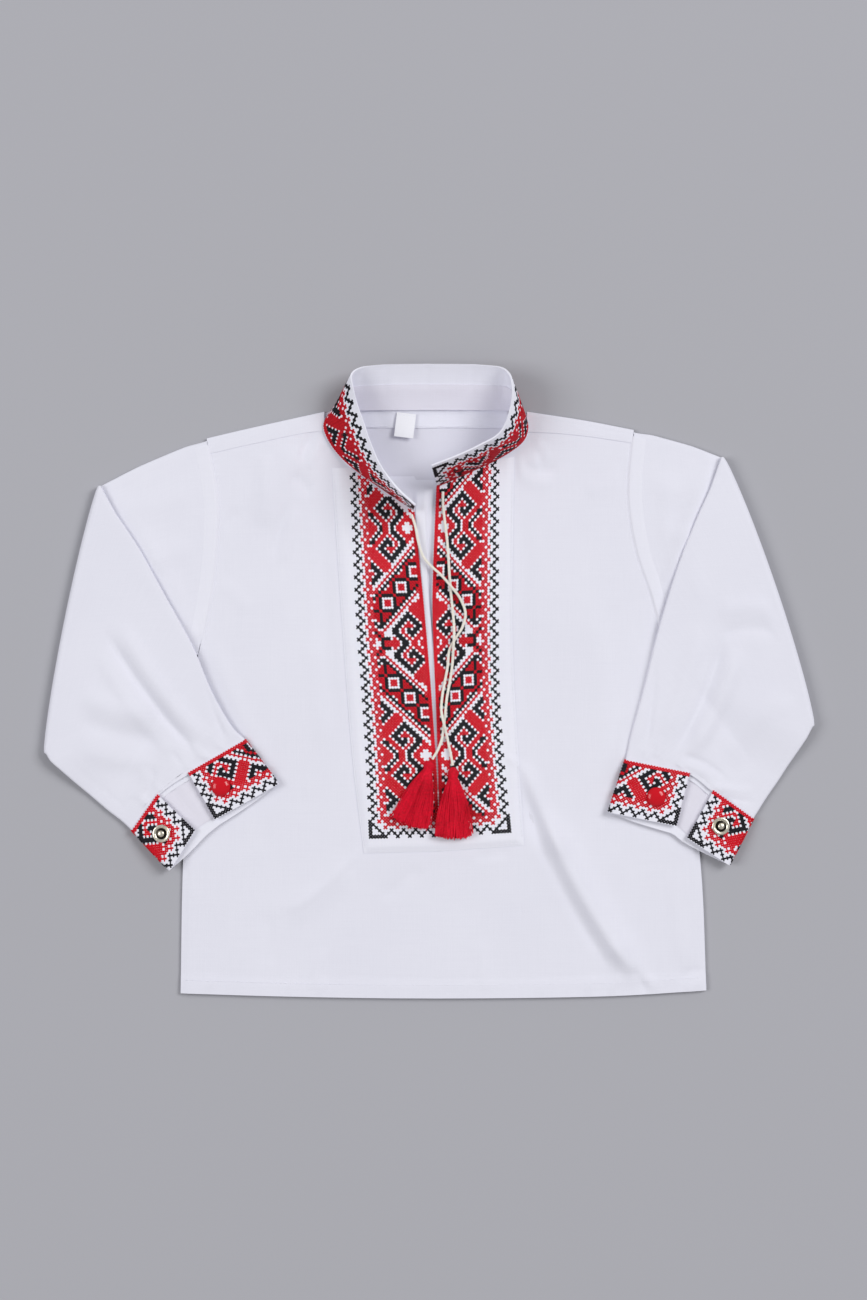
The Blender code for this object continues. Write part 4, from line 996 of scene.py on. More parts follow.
def makeSleeve(side):
    # a flat tube: upper arm, half a turn at the elbow, and the forearm back over the front
    table = sleeves[side]
    sign, half = table["sign"], layers["sleeveHalf"]
    upper = curve([(k / 3, *row) for k, row in enumerate(table["sections"])])
    lower = curve([(k / 7, *row) for k, row in enumerate(table["forearm"])])
    upShare = np.linspace(0, 1, sleeves["upperRows"] + 1)
    downShare = np.linspace(0, 1, sleeves["lowerRows"] + 1)
    turns = np.linspace(0, math.pi, sleeves["foldRows"] + 1)[1:-1]
    sections = np.vstack([upper(upShare), np.tile(upper(np.array(1.0)), (len(turns), 1)), lower(downShare)])
    fold = np.concatenate([upShare * 0, turns, downShare * 0 + math.pi])
    shift = np.concatenate([np.clip(upShare * 3 - 2, 0, 1), turns * 0 + 1, np.clip(1 - downShare * 7, 0, 1)])
    forearm = np.concatenate([upShare * 0 - 1, turns * 0 - 1, downShare])
    start, span = sections[:, 0:2], sections[:, 2:4] - sections[:, 0:2]
    length = np.linalg.norm(span, axis=1)
    across = span / length[:, None]
    inward = np.column_stack([-across[:, 1], across[:, 0]])
    inward = np.where(inward[:, 0:1] * sign > 0, -inward, inward)
    bow = sections[:, 4]
    sideRows = outline["sideLeft" if sign < 0 else "sideRight"]
    armhole = curve(withEnd(sideRows, outline["backTop"][0 if sign < 0 else -1]))
    cuffSeam = cuffLine(side, "seam")
    flatCount, turnCount = sleeves["flatColumns"], sleeves["turnColumns"]
    quarter = flatCount + 1 + turnCount
    around, last = 2 * quarter, len(fold) - 1
    along = farAlong(start + span / 2)

    def middleAt(row, share):
        span = half + (length[row] - 2 * half) * share
        bowed = bow[row] * (4 * share * (1 - share)) ** sleeves["bowFullness"]
        return start[row] + across[row] * span[:, None] - inward[row] * bowed[:, None]

    def place(column, row):
        # which layer, and how far across it or round its edge
        step = column % around
        layer = np.where(step < quarter, 1.0, -1.0)
        k = np.where(step < quarter, step, step - quarter)
        isFlat = k <= flatCount
        share = np.where(layer > 0, np.minimum(k / flatCount, 1.0), np.maximum(1 - k / flatCount, 0.0))
        angle = math.pi * (k - flatCount) / (turnCount + 1)
        turn = fold[row]
        up = np.column_stack([inward[row] * np.sin(turn)[:, None], np.cos(turn)])
        sideways = np.column_stack([across[row], turn * 0])
        ring = np.where(isFlat[:, None], up, up * np.cos(angle)[:, None] + sideways * np.sin(angle)[:, None])
        ring = ring * (layers["sleeveLayer"] * layer)[:, None]
        # drawn to the armhole at one end and to the cuff at the other
        middle = middleAt(row, share)
        reach = (half + (length[row] - 2 * half) * share) / length[row]
        edge = armhole(1 - (1 - layers["underarm"]) * reach)
        edge[:, 0] += sign * sleeves["armholeGap"]
        nearArmhole = (1 - smoothStep(row / sleeves["settleRows"]))[:, None]
        middle = middle + (edge - middleAt(row * 0, share)) * nearArmhole
        seam = cuffSeam(reach) - inward[row] * 0.1
        nearCuff = (1 - smoothStep((last - row) / sleeves["settleRows"]))[:, None]
        middle = middle + (seam - middleAt(row * 0 + last, share)) * nearCuff
        # round the elbow, pinched at the corners of the turn
        pinched = 0.3 + 0.7 * smoothStep(np.minimum(share, 1 - share) / sleeves["cornerShare"])
        pulled = layers["foldRadius"] * (1 - np.sin(turn)) * pinched + half
        middle = middle + inward[row] * (pulled * shift[row])[:, None]
        # raised by the turn, and lowered where nothing lies under the forearm
        level = forearmSupport(side, middle[:, 0], middle[:, 1])
        raised = half + layers["foldRadius"] * (1 - np.cos(turn))
        lowered = (layers["forearmRest"] - level) * smoothStep((turn - math.pi / 2) / sleeves["elbowTurn"])
        points = np.column_stack([middle, raised - lowered]) + ring
        x, y = points[:, 0], points[:, 1]
        # creases and pleats on the layers that show
        soft = np.sqrt(np.maximum(np.sin(math.pi * share), 0.0))
        onTop = (turn > 3.0) & (layer < 0) & isFlat
        pleats = sum(h * np.exp(-(((share - s) / w) ** 2)) for s, h, w in table["pleats"])
        pleats = pleats * smoothStep((forearm[row] - sleeves["pleatsFrom"]) / sleeves["pleatsReach"])
        pleats = pleats * (1 - 0.6 * smoothStep((forearm[row] - 0.96) / 0.04))
        fresh = smoothStep(forearm[row] * 12)
        points[:, 2] += np.where(onTop, (creaseHeight(table["creases"], x, y) * soft + pleats) * fresh, 0.0)
        under = sleeves["underCuff"] * (1 - smoothStep((last - row) / 2))
        under = under * np.clip(ring[:, 2] / layers["sleeveLayer"], 0, 1)
        points[:, 0:2] += inward[row] * under[:, None]  # a little cloth passes under the cuff
        arm = (turn < 0.1) & isFlat
        armRise = creaseHeight(table["armCreases"], x, y) * soft * smoothStep((row - 4) / 10)
        points[:, 2] += np.where(arm, armRise * np.where(layer > 0, 1.0, 0.6), 0.0)
        cut = np.column_stack([np.where(layer > 0, share, 2 - share) * length[row], along[row]])
        return points, cut

    piece = clothGrid(around, last, place, sleeves["wall"], closeRound=True)
    return dress(piece, "sleeveCloth_" + side, "cloth", ["sleeve_" + side])


def cuffPoint(side, along, down):
    # the middle of a cuff: along it from the cap end round the back to the stud end, and down from its seam
    table = cuffs[side]
    along, down = np.asarray(along, float), np.asarray(down, float)
    d = down[..., None]
    cap, near, far, stud = [np.array(table[key][:2]) * (1 - d) + np.array(table[key][2:]) * d
                            for key in ("cap", "near", "far", "stud")]
    outward = (near - far) / np.linalg.norm(near - far, axis=-1, keepdims=True)
    near, far = near - outward * layers["cuffHalf"], far + outward * layers["cuffHalf"]
    first = np.array(table["cap"][2:]) - np.array(table["cap"][:2])
    gap = first / np.linalg.norm(first) * 0.3 * (1 - d)
    stretch = np.clip(np.floor(along), 0, 4)
    share = along - stretch
    s = share[..., None]
    bowed = cuffLine(side, "seam")(share) * (1 - d) + cuffLine(side, "hem")(share) * d
    straight = near * (1 - s) + far * s
    blend = 0.6 * d + 2 * np.abs(s - 0.5) * (1 - 0.6 * d)
    swing = np.sin(math.pi * s) * layers["cuffLayer"]
    which = stretch[..., None]
    flat = np.where(which == 0, cap * (1 - s) + near * s, 0.0)
    flat = np.where(which == 1, near + outward * swing, flat)
    flat = np.where(which == 2, bowed * (1 - blend) + straight * blend, flat)
    flat = np.where(which == 3, far - outward * swing, flat)
    flat = np.where(which == 4, far * (1 - s) + stud * s, flat) + gap
    level = np.select([stretch == 0, stretch == 1, stretch == 2, stretch == 3],
                      [1.0, np.cos(math.pi * share), -1.0, -np.cos(math.pi * share)], 1.0)
    z = forearmSupport(side, flat[..., 0], flat[..., 1]) + layers["cuffHalf"] + level * layers["cuffLayer"]
    return np.concatenate([flat, z[..., None]], axis=-1)


def makeCuff(side):
    # from the capped end round the back to the end with the stud
    bend = np.linspace(0, 1, 8)[1:-1]
    stations = np.concatenate([np.linspace(0, 1, 27), 1 + bend, 2 + np.linspace(0, 1, 57), 3 + bend,
                               4 + np.linspace(0, 1, 21)])
    rows = 22
    middle = cuffPoint(side, stations, stations * 0 + 0.5)
    far = farAlong(middle)

    def place(column, row):
        down = row / rows
        return cuffPoint(side, stations[column], down), np.column_stack([far[column], down * cuffs["depth"]])

    piece = clothGrid(len(stations) - 1, rows, place, cuffs["wall"])
    return dress(piece, "cuffCloth_" + side, "evenweave", ["cuff_" + side])


def makeCuffInside(side, name, finish, low, high, lift):
    # what shows between the free ends of a cuff: its lining, and the seam allowance over that
    seamLine, freeLine = cuffLine(side, "seam"), cuffLine(side, "hem")

    def place(column, row):
        share = 0.34 + 0.46 * column / 40
        start, end = seamLine(share), freeLine(share)
        down = (end - start) / np.linalg.norm(end - start, axis=1)[:, None]
        far = low + (high - low) * row / 12
        flat = start + down * far[:, None]
        ripple = 0.12 * np.sin(share * 60) * (1 - row / 12)
        z = forearmSupport(side, flat[:, 0], flat[:, 1]) + lift + ripple
        return np.column_stack([flat, z]), np.column_stack([share * cuffs["half"], far])

    dress(clothGrid(40, 12, place, 0.2), name + side, finish)


sides = ("left", "right")
sleeveCloths = [makeSleeve(side) for side in sides]
cuffCloths = [makeCuff(side) for side in sides]
for side in sides:
    makeCuffInside(side, "cuffLining_", "innerCloth", 2.0, 29.0, 1.15)
for side in sides:
    makeCuffInside(side, "cuffAllowance_", "seamCloth", -4.0, 4.0, 1.5)
print("7/12 sleeves and cuffs laid")

# Collar, its facing, neck tape and tag

collar = {
    "length": 290,
    "height": 26,
    "stitchMargin": 1.2,
    "stitchStep": 1.71,
    "stitchBreadth": 14,
    "stitchMiddle": 29,
    "bow": 0.9,
    "wall": 1,
    "facingIn": 1.15,
    "facingSpan": (0.012, 0.56),
    # share, seam x, y, free edge x, y, height of the seam
    "stations": [
        (0, -8.6, 94.4, -7.6, 95.8, 4.5), (0.065, -25.8, 105.8, -17.8, 105.4, 4.5),
        (0.13, -42.4, 118, -27, 118.4, 4.4), (0.18, -51, 126.6, -32.4, 131, 3.6),
        (0.225, -56.2, 135, -36.6, 143.4, 3.4), (0.26, -57.6, 141.2, -39.4, 151.6, 3.4),
        (0.295, -54.8, 146.4, -41.6, 160.4, 3.2), (0.33, -49, 148.8, -42.2, 167.4, 2.5),
        (0.375, -39, 149, -34.6, 172, 2.1), (0.52, 0.3, 149.2, 0.3, 173.4, 2.1),
        (0.66, 38, 149, 36.4, 172, 2.1), (0.7, 46.6, 148.6, 43.4, 167.4, 2.6),
        (0.735, 52.2, 145, 45.2, 158.4, 3.4), (0.775, 53.6, 138.6, 43.6, 147.2, 3.6),
        (0.82, 50.2, 131.2, 38.4, 135.4, 3.8), (0.88, 38.4, 123, 27, 128.2, 4.5),
        (0.94, 22, 115.2, 14.6, 122.4, 4.5), (1, 4.4, 107.4, 1.2, 117.2, 4.5),
    ],
    # small folds across the band: share and height at each end, height of the fold, half width in shares
    "creases": [
        (0.845, 0.85, 0.875, 0.1, 0.55, 0.008), (0.872, 0.75, 0.905, 0.15, -0.5, 0.007),
        (0.9, 0.8, 0.925, 0.1, 0.65, 0.008), (0.93, 0.7, 0.955, 0.1, -0.45, 0.007),
        (0.795, 0.9, 0.815, 0.2, 0.4, 0.009), (0.965, 0.8, 0.975, 0.15, 0.4, 0.007),
        (0.11, 0.9, 0.09, 0.2, 0.35, 0.01), (0.205, 0.9, 0.19, 0.2, -0.35, 0.009),
        (0.255, 0.8, 0.245, 0.1, 0.3, 0.008), (0.345, 0.9, 0.355, 0.2, 0.4, 0.009),
        (0.42, 0.95, 0.428, 0.3, 0.3, 0.01), (0.515, 0.95, 0.51, 0.4, 0.35, 0.008),
        (0.61, 0.95, 0.6, 0.3, 0.3, 0.01), (0.68, 0.9, 0.672, 0.2, 0.4, 0.008),
    ],
}
collarStation = curve(collar["stations"])


def collarPlace(share, up, inward=0.0):
    # a place on the collar: share along it, up from its seam, and inward towards the neck
    share, up = np.asarray(share, float), np.asarray(up, float)

    def ruled(s, h):
        spot = collarStation(np.clip(s, 0.0, 1.0))
        h = h[..., None]
        seam, free, low = spot[..., 0:2], spot[..., 2:4], spot[..., 4:5]
        reach = np.linalg.norm(free - seam, axis=-1, keepdims=True)
        rise = np.sqrt(np.maximum(collar["height"] ** 2 - reach**2, 1.0))
        return np.concatenate([seam + (free - seam) * h, low + rise * h], axis=-1)

    along = ruled(share + 0.004, up) - ruled(share - 0.004, up)
    climb = ruled(share, up * 0 + 1.0) - ruled(share, up * 0)
    neckward = np.cross(along, climb)
    neckward /= np.linalg.norm(neckward, axis=-1, keepdims=True)
    bent = -collar["bow"] * 4 * up * (1 - up)
    for topShare, top, lowShare, low, height, halfWidth in collar["creases"]:
        t = (up - low) / (top - low)
        line = lowShare + (topShare - lowShare) * t
        ends = smoothStep(t / 0.3) * smoothStep((1.25 - t) / 0.3)
        bent = bent - height * np.exp(-np.minimum(((share - line) / halfWidth) ** 2, 60)) * ends
    return ruled(share, up) + neckward * (bent + inward)[..., None]


def makeCollar():
    columns, rows = 260, 18

    def cut(share, up):
        return np.column_stack([share * collar["length"], up * collar["height"]])

    def place(column, row):
        share, up = column / columns, row / rows
        return collarPlace(share, up), cut(share, up)

    piece = clothGrid(columns, rows, place, collar["wall"])
    dress(piece, "collarCloth", "evenweave", ["collar"])

    def placeFacing(column, row):
        share = np.clip(column / columns, 0.008, 0.992)
        low, high = collar["facingSpan"]
        up = low + (high - low) * row / 10
        near = 1 - 0.35 * smoothStep((row - 8) / 2)
        return collarPlace(share, up, collar["facingIn"] * near), cut(share, up)

    facing = clothGrid(columns, 10, placeFacing, 0.4)
    dress(facing, "collarFacingCloth", "innerCloth", ["collar_facing"])
    return piece, facing


neck = {
    "tape": {"left": -45, "right": 43, "top": 150.2, "bottom": 139.4, "middle": 1.15, "wall": 0.4},
    "tag": {"middle": (-13.4, 140.7), "width": 10.6, "length": 13.4, "turn": -7, "low": 2.35, "high": 3.25,
            "wall": 0.35},
}


def makeNeckTape():
    table = neck["tape"]

    def place(column, row):
        x = table["left"] + (table["right"] - table["left"]) * column / 120
        up = row / 10
        y = table["bottom"] + (table["top"] - table["bottom"]) * row / 10 + 0.12 * np.sin(x / 7.0) * (1 - up)
        z = table["middle"] + 0.12 * np.sin(x / 3.1) * np.sin(math.pi * up) + 0.08 * np.sin(x / 1.7 + 1.0)
        z += 0.9 * smoothStep((row - 6) / 4)  # up to the collar
        return np.column_stack([x, y, z]), np.column_stack([x, y])

    piece = clothGrid(120, 10, place, table["wall"])
    return dress(piece, "neckTapeCloth", "cloth", ["neck_tape"])


def tagSpots(x, y):
    # places on the tag, from its own middle and slant
    (middleX, middleY), turn = neck["tag"]["middle"], math.radians(neck["tag"]["turn"])
    return np.column_stack([middleX + x * math.cos(turn) - y * math.sin(turn),
                            middleY + x * math.sin(turn) + y * math.cos(turn)])


def makeTag():
    # a plain woven tag, left bare, sewn at its top and lifting a little at its free end
    table = neck["tag"]

    def place(column, row):
        x = (column / 14 - 0.5) * table["width"]
        y = (0.5 - row / 20) * table["length"]
        lift = smoothStep(row / 20) * (table["high"] - table["low"])
        curl = 0.25 * (2 * column / 14 - 1) ** 2 * row / 20
        return np.column_stack([tagSpots(x, y), table["low"] + lift + curl]), np.column_stack([x, y])

    piece = clothGrid(14, 20, place, table["wall"])
    return dress(piece, "bareTag", "satin", ["size_label"])


collarCloth, facingCloth = makeCollar()
tapeCloth, tag = makeNeckTape(), makeTag()
print("8/12 collar, tape and tag laid")

# Embroidery: one repeat charted in cells

chart = {
    "cell": 1.667,
    "panelLength": 123,
    "loosenedFrom": 64,
    "loosened": 0.028,
    "across": 23,
    "shown": 22.7,
    "half": 37,
    "middle": 27,
    # slants: kind (+1 keeps across + away, -1 keeps across - away), its number, across from and to
    "scrollBlack": [(-1, 3, 9, 13), (-1, 4, 10, 13), (1, 22, 13, 18), (1, 23, 13, 18), (-1, 14, 14, 18),
                    (-1, 13, 14, 17), (1, 15, 9, 12), (1, 16, 10, 12), (-1, 9, 13, 13), (-1, 8, 13, 13)],
    "scrollWhite": [(-1, 2, 8, 12), (-1, 5, 11, 13), (1, 21, 14, 16), (-1, 12, 13, 16), (-1, 13, 13, 13),
                    (1, 14, 9, 12), (-1, 10, 13, 14), (-1, 9, 14, 14), (-1, 7, 12, 12), (-1, 15, 15, 18)],
    "white": [(1, 25, 6, 20), (1, 24, 6, 10), (1, 24, 13, 20), (1, 27, 8, 21), (1, 40, 10, 20),
              (1, 42, 10, 21), (1, 43, 10, 17), (1, 43, 20, 21), (-1, -4, 6, 9), (1, 9, 6, 9),
              (1, 11, 8, 10)],
    "fine": [(1, 26, 6, 21), (1, 41, 8, 21)],
    "black": [(1, 28, 7, 21), (1, 39, 9, 21), (1, 22, 6, 9), (1, 23, 6, 9), (-1, -5, 6, 9), (-1, -6, 6, 8),
              (1, 10, 6, 10)],
    "squares": [(5.5, 28.5), (10.5, 23.5), (15.5, 18.5), (20.5, 13.5)],
    "whiteSpots": [(6, 15), (7, 14), (6, 13), (6, 5), (10, 19), (11, 18), (15, 14), (16, 13), (20, 9),
                   (21, 8), (6, 21), (6, 23), (18, 0), (19, 0), (20, 0), (21, 0), (19, 1), (20, 1), (21, 3),
                   (21, 4), (6, 29), (7, 30), (6, 31), (7, 32), (8, 32), (9, 31), (9, 33), (10, 33),
                   (11, 33), (9, 34), (10, 34), (11, 34), (6, 36), (6, 35), (7, 36), (11, 35), (20, 36),
                   (21, 35)],
    "blackSpots": [(7, 4), (6, 22), (6, 30), (7, 31), (8, 31), (8, 36), (8, 35), (9, 35), (10, 35), (7, 34),
                   (6, 33)],
}


def chartRepeat():
    # w is bare cloth, r red, k black, d red over black, l a half stitch along the slant
    half = chart["half"]
    cells = {(u, e): "d" if 28 < u + e < 39 and u > 5 else "r"
             for u in range(chart["across"]) for e in range(half)}

    def paint(spots, colour):
        for u, e in spots:
            if (u, e) in cells and 5 < u < 22:
                cells[u, e] = colour

    def slants(rows, colour, turned=False):
        for kind, total, low, high in rows:
            spots = [(u, total - u if kind > 0 else u - total) for u in range(low, high + 1)]
            if turned:  # the second scroll faces the first
                spots = [(30 - u, min(half - e, half - 1)) for u, e in spots]
            paint(spots, colour)

    for midU, midE in chart["squares"]:
        for u, e in list(cells):
            ring, reach = max(abs(u - midU), abs(e - midE)), abs(u - midU) + abs(e - midE)
            if ring < 3:
                whole = midU > 6
                new = "k" if ring > 2 and reach < 5 else "w" if 1 < ring < 2 and whole else cells[u, e]
                paint([(u, e)], "r" if ring < 1 and whole else new)
    slants(chart["black"], "k")
    slants(chart["white"], "w")
    slants(chart["fine"], "l")
    paint(chart["whiteSpots"], "w")
    for turned in (False, True):
        slants(chart["scrollWhite"], "w", turned)
        slants(chart["scrollBlack"], "k", turned)
    paint(chart["blackSpots"], "k")
    return cells


repeat = chartRepeat()


def sideCell(u, v, middle=chart["middle"]):
    # along the border: a zigzag, a lattice, then the repeat, mirrored about its middle
    phase = (v + 3) % 4
    if u < 3:
        return "cycz"[phase] if u == (0, 1, 2, 1)[phase] else "w"
    if u < 6:
        return {"r": "x", "w": "w"}[("rwr", "wrr", "wrw", "wrr")[phase][u - 3]]
    away = (v - middle if v >= middle else middle - 1 - v) % (2 * chart["half"])
    far = away >= chart["half"]
    found = repeat[u, 2 * chart["half"] - 1 - away if far else away]
    return ("l" if far != (v < middle) else "m") if found == "l" else found


def cornerCell(u, v, middle=chart["middle"]):
    # the border also turns along the end
    if u < 5 and v < 5:
        return "c" if u == 0 or v == 0 else "z" if u + v == 5 else "w"
    if v < 6 and u >= v:
        return sideCell(v, u)
    return sideCell(u, v, middle)


# half the breadth of an arm and the length of each arm, for each kind of cell, in cells
stitch = {
    "rise": 0.34,
    "sunk": 0.06,
    "ground": 0.14,
    "kinds": {"r": (0.4, 1.16, 1.16), "d": (0.4, 1.12, 1.12), "x": (0.36, 1.2, 1.2), "k": (0.44, 1.22, 1.22),
              "c": (0.38, 1.16, 1.16), "y": (0.38, 1.22, 0.9), "z": (0.38, 0.9, 1.22), "l": (0.36, 1.22, 0.9),
              "m": (0.36, 0.9, 1.22)},
}


def armShape(direction, raised, breadth, length):
    # half a cross stitch: a ridge from corner to corner, highest in its middle
    points = []
    for along, width, height in ((-0.5, 0.86, 0.5), (0.0, 1.0, 1.0), (0.5, 0.86, 0.5)):
        crown = stitch["rise"] * height + raised
        for across, up in ((-0.5, -stitch["sunk"]), (0.5, -stitch["sunk"]), (0.0, crown)):
            w, far = across * width * breadth * 2, along * length
            points.append((far - w * 0.7071 * direction, far * direction + w * 0.7071, up))
    faces = [(0, 2, 1), (6, 7, 8)]
    for low in (0, 3):
        faces += [(low + a, low + b, low + b + 3, low + a + 3) for a, b in ((0, 1), (1, 2), (2, 0))]
    return points, faces


def crossShape(code):
    # both arms of a stitch, the second over the first
    points, faces = [], []
    breadth, *lengths = stitch["kinds"][code]
    for number, direction in enumerate((1, -1)):
        shape, its = armShape(direction, 0.07 * number, breadth, lengths[number])
        faces += [tuple(k + len(points) for k in face) for face in its]
        points += shape
    return np.array(points), faces


def embroider(name, surfaceAt, cells, outward):
    # cells is a list of (across, along, code); surfaceAt gives places on the cloth's outer face
    spots = {code: np.array([(u, v) for u, v, found in cells if found == code], float)
             for code in stitch["kinds"]}

    def directions(u, v, reach):
        # a place, the ways across and along there, and the way off the cloth
        alongU = surfaceAt(u + reach, v) - surfaceAt(u - reach, v)
        alongV = surfaceAt(u, v + reach) - surfaceAt(u, v - reach)
        away = np.cross(alongU, alongV) * outward
        return surfaceAt(u, v), alongU, alongV, away / np.linalg.norm(away, axis=1, keepdims=True)

    for colour, codes in (("red", "rdxlm"), ("black", "kcyz")):
        allPoints, allFaces, count = [], [], 0
        for code in codes:
            if len(spots[code]):
                shape, faces = crossShape(code)
                points, more = copiesOf(shape, faces, *directions(*(spots[code].T + 0.5), 0.5))
                allFaces += [tuple(k + count for k in face) for face in more]
                count += len(points)
                allPoints.append(points)
        piece = meshFromArrays(np.vstack(allPoints), allFaces)
        dress(piece, name + "_" + colour, colour + "Floss")

    found = spots["d"]
    if len(found):  # a thin closed ground of dark thread under the cells worked twice
        corners = (found[:, None, :] + np.array([(0, 0), (1, 0), (1, 1), (0, 1)])[None]).reshape(-1, 2)
        unique, index = np.unique(corners, axis=0, return_inverse=True)
        middle, alongU, alongV, away = directions(*unique.T, 0.2)
        piece = meshFromArrays(middle + away * 0.02, index.reshape(-1, 4).tolist())
        giveWall(piece, stitch["ground"])
        dress(piece, name + "_ground", "blackGround")


panelLines = {
    "left": {"outer": [(-33, -86.1), (-34.9, -43.2), (-37.7, 0.8), (-39.6, 22.8), (-41.7, 66.8),
                       (-43.8, 116.3)],
             "inner": [(4.4, -85.2), (3.7, -59.7), (0.6, -12), (-4, 43), (-8.8, 91.8), (-10.6, 116.6)]},
    "right": {"outer": [(44.8, -82.8), (41, -43.2), (38.2, 0.8), (37.9, 66.8), (38.2, 119)],
              "inner": [(5.3, -85.2), (5.7, -59.7), (4.2, -12), (2.4, 43), (4.4, 105.2), (4.8, 117.4)]},
}


def panelSurface(side):
    # cells from the panel's outer edge, and up from its lower one
    lines = panelLines[side]
    (outerRows, outerLength), (innerRows, innerLength) = byLength(lines["outer"]), byLength(lines["inner"])
    outer, inner = curve(outerRows), curve(innerRows)

    def surfaceAt(u, v):
        v = np.asarray(v, float)
        far = (v + chart["loosened"] * np.maximum(v - chart["loosenedFrom"], 0)) * chart["cell"]
        share = (np.asarray(u, float) / chart["shown"])[..., None]
        flat = outer(far / outerLength) * (1 - share) + inner(far / innerLength) * share
        x, y = flat[..., 0], flat[..., 1]
        top = layers["frontMiddle"] + layers["plastronRise"] + plastron["wall"] / 2
        return np.column_stack([flat, top + frontRise(x, y)])

    return surfaceAt


def embroiderPanel():
    for side, outward, top in (("left", 1.0, "topLeft"), ("right", -1.0, "topRight")):
        surfaceAt = panelSurface(side)
        tops = sorted((x, y) for share, x, y in plastron[top])
        cells = []
        for v in range(chart["panelLength"]):
            for u in range(chart["across"]):
                code = cornerCell(u, v)
                if code != "w":
                    x, y, z = surfaceAt(np.array([u + 0.5]), np.array([v + 0.5]))[0]
                    if y < np.interp(x, [p[0] for p in tops], [p[1] for p in tops]) - 0.7:
                        cells.append((u, v, code))
        embroider("panelStitches_" + side, surfaceAt, cells, outward)
        print("   panel", side, len(cells), "stitches")


def bandCells(count, table):
    # a band with a corner at both ends and a plain red last row
    cells = []
    for v in range(count):
        for u in range(table["stitchBreadth"]):
            last = u == table["stitchBreadth"] - 1
            code = "r" if last else cornerCell(u, min(v, count - 1 - v), table["stitchMiddle"])
            if v >= count / 2:
                code = code.translate(str.maketrans("lmyz", "mlzy"))
            if code != "w":
                cells.append((u, v, code))
    return cells


def wholeCells(line):
    # lengths along a line, how many whole cells it takes, and their size
    far = farAlong(line)
    count = int(far[-1] / chart["cell"])
    return far, count, far[-1] / count


def embroiderCuff(side):
    fine = np.linspace(0, 5, 2501)
    fine[-1] = 4.9999
    far, count, cell = wholeCells(cuffPoint(side, fine, fine * 0 + 0.5))
    outward = cuffs[side]["outward"]

    def surfaceAt(u, v):
        spot = np.asarray(v, float) * cell
        along = np.interp(spot, far, fine)
        down = 1 - (np.asarray(u, float) + cuffs["stitchMargin"]) * cuffs["stitchStep"] / cuffs["depth"]
        middle = cuffPoint(side, along, down)
        # the outer face, from the cuff's own slopes
        alongStep = cuffPoint(side, np.interp(spot + 0.3, far, fine), down) - cuffPoint(
            side, np.interp(spot - 0.3, far, fine), down)
        downStep = cuffPoint(side, along, down + 0.01) - cuffPoint(side, along, down - 0.01)
        away = np.cross(alongStep, downStep)
        away /= np.maximum(np.linalg.norm(away, axis=1, keepdims=True), 1e-9)
        return middle + away * outward * cuffs["wall"] / 2

    cells = bandCells(count, cuffs)
    print("   cuff", side, len(cells), "stitches, ", round(far[-1], 1), "mm round")
    embroider("cuffStitches_" + side, surfaceAt, cells, outward)


def embroiderCollar():
    fine = np.linspace(0, 1, 1501)
    far, count, cell = wholeCells(collarPlace(fine, fine * 0 + 0.5))

    def surfaceAt(u, v):
        share = np.interp(np.asarray(v, float) * cell, far, fine)
        up = 1 - (np.asarray(u, float) + collar["stitchMargin"]) * collar["stitchStep"] / collar["height"]
        return collarPlace(share, up, -collar["wall"] / 2)

    cells = bandCells(count, collar)
    print("   collar", len(cells), "stitches, ", round(far[-1], 1), "mm round")
    embroider("collarStitches", surfaceAt, cells, 1.0)


embroiderPanel()
for side in sides:
    embroiderCuff(side)
embroiderCollar()
print("9/12 embroidery worked")

# Sewing: rows of small stitches, and the armhole seams

sewing = {"length": 1.9, "step": 2.7, "width": 0.34, "rise": 0.16}


def dashRow(points, up=(0.0, 0.0, 1.0)):
    # places and directions of the stitches along a line
    points = np.asarray(points, float)
    far = farAlong(points)
    at = np.arange(sewing["step"] / 2, far[-1], sewing["step"])
    low = np.column_stack([np.interp(at - sewing["length"] / 2, far, points[:, k]) for k in range(3)])
    high = np.column_stack([np.interp(at + sewing["length"] / 2, far, points[:, k]) for k in range(3)])
    along = high - low
    outward = np.tile(np.array(up), (len(at), 1))
    side = np.cross(outward, along)
    side *= sewing["width"] / np.maximum(np.linalg.norm(side, axis=1, keepdims=True), 1e-9)
    return (low + high) / 2, along, side, outward


def sewRows(name, rows):
    # one small rounded stitch, copied along every row
    shape, faces = [], []
    for along, size in ((-0.5, 0.35), (0.0, 1.0), (0.5, 0.35)):
        for across, up in ((-0.5, 0.0), (0.0, sewing["rise"]), (0.5, 0.0), (0.0, -0.08)):
            shape.append((along, across * size, up * size))
    for low in (0, 4):
        faces += [(low + k, low + (k + 1) % 4, low + (k + 1) % 4 + 4, low + k + 4) for k in range(4)]
    faces += [(0, 3, 2, 1), (8, 9, 10, 11)]
    centres, alongs, sides, ups = [np.vstack(part) for part in zip(*[dashRow(*row) for row in rows])]
    piece = meshFromArrays(*copiesOf(np.array(shape), faces, centres, alongs, sides, ups))
    dress(piece, name, "thread")


def frontTop(flat, extra=0.0):
    # places on the front's upper face
    x, y = flat[:, 0], flat[:, 1]
    return np.column_stack([flat, layers["frontMiddle"] + body["wall"] / 2 + frontRise(x, y) + extra])


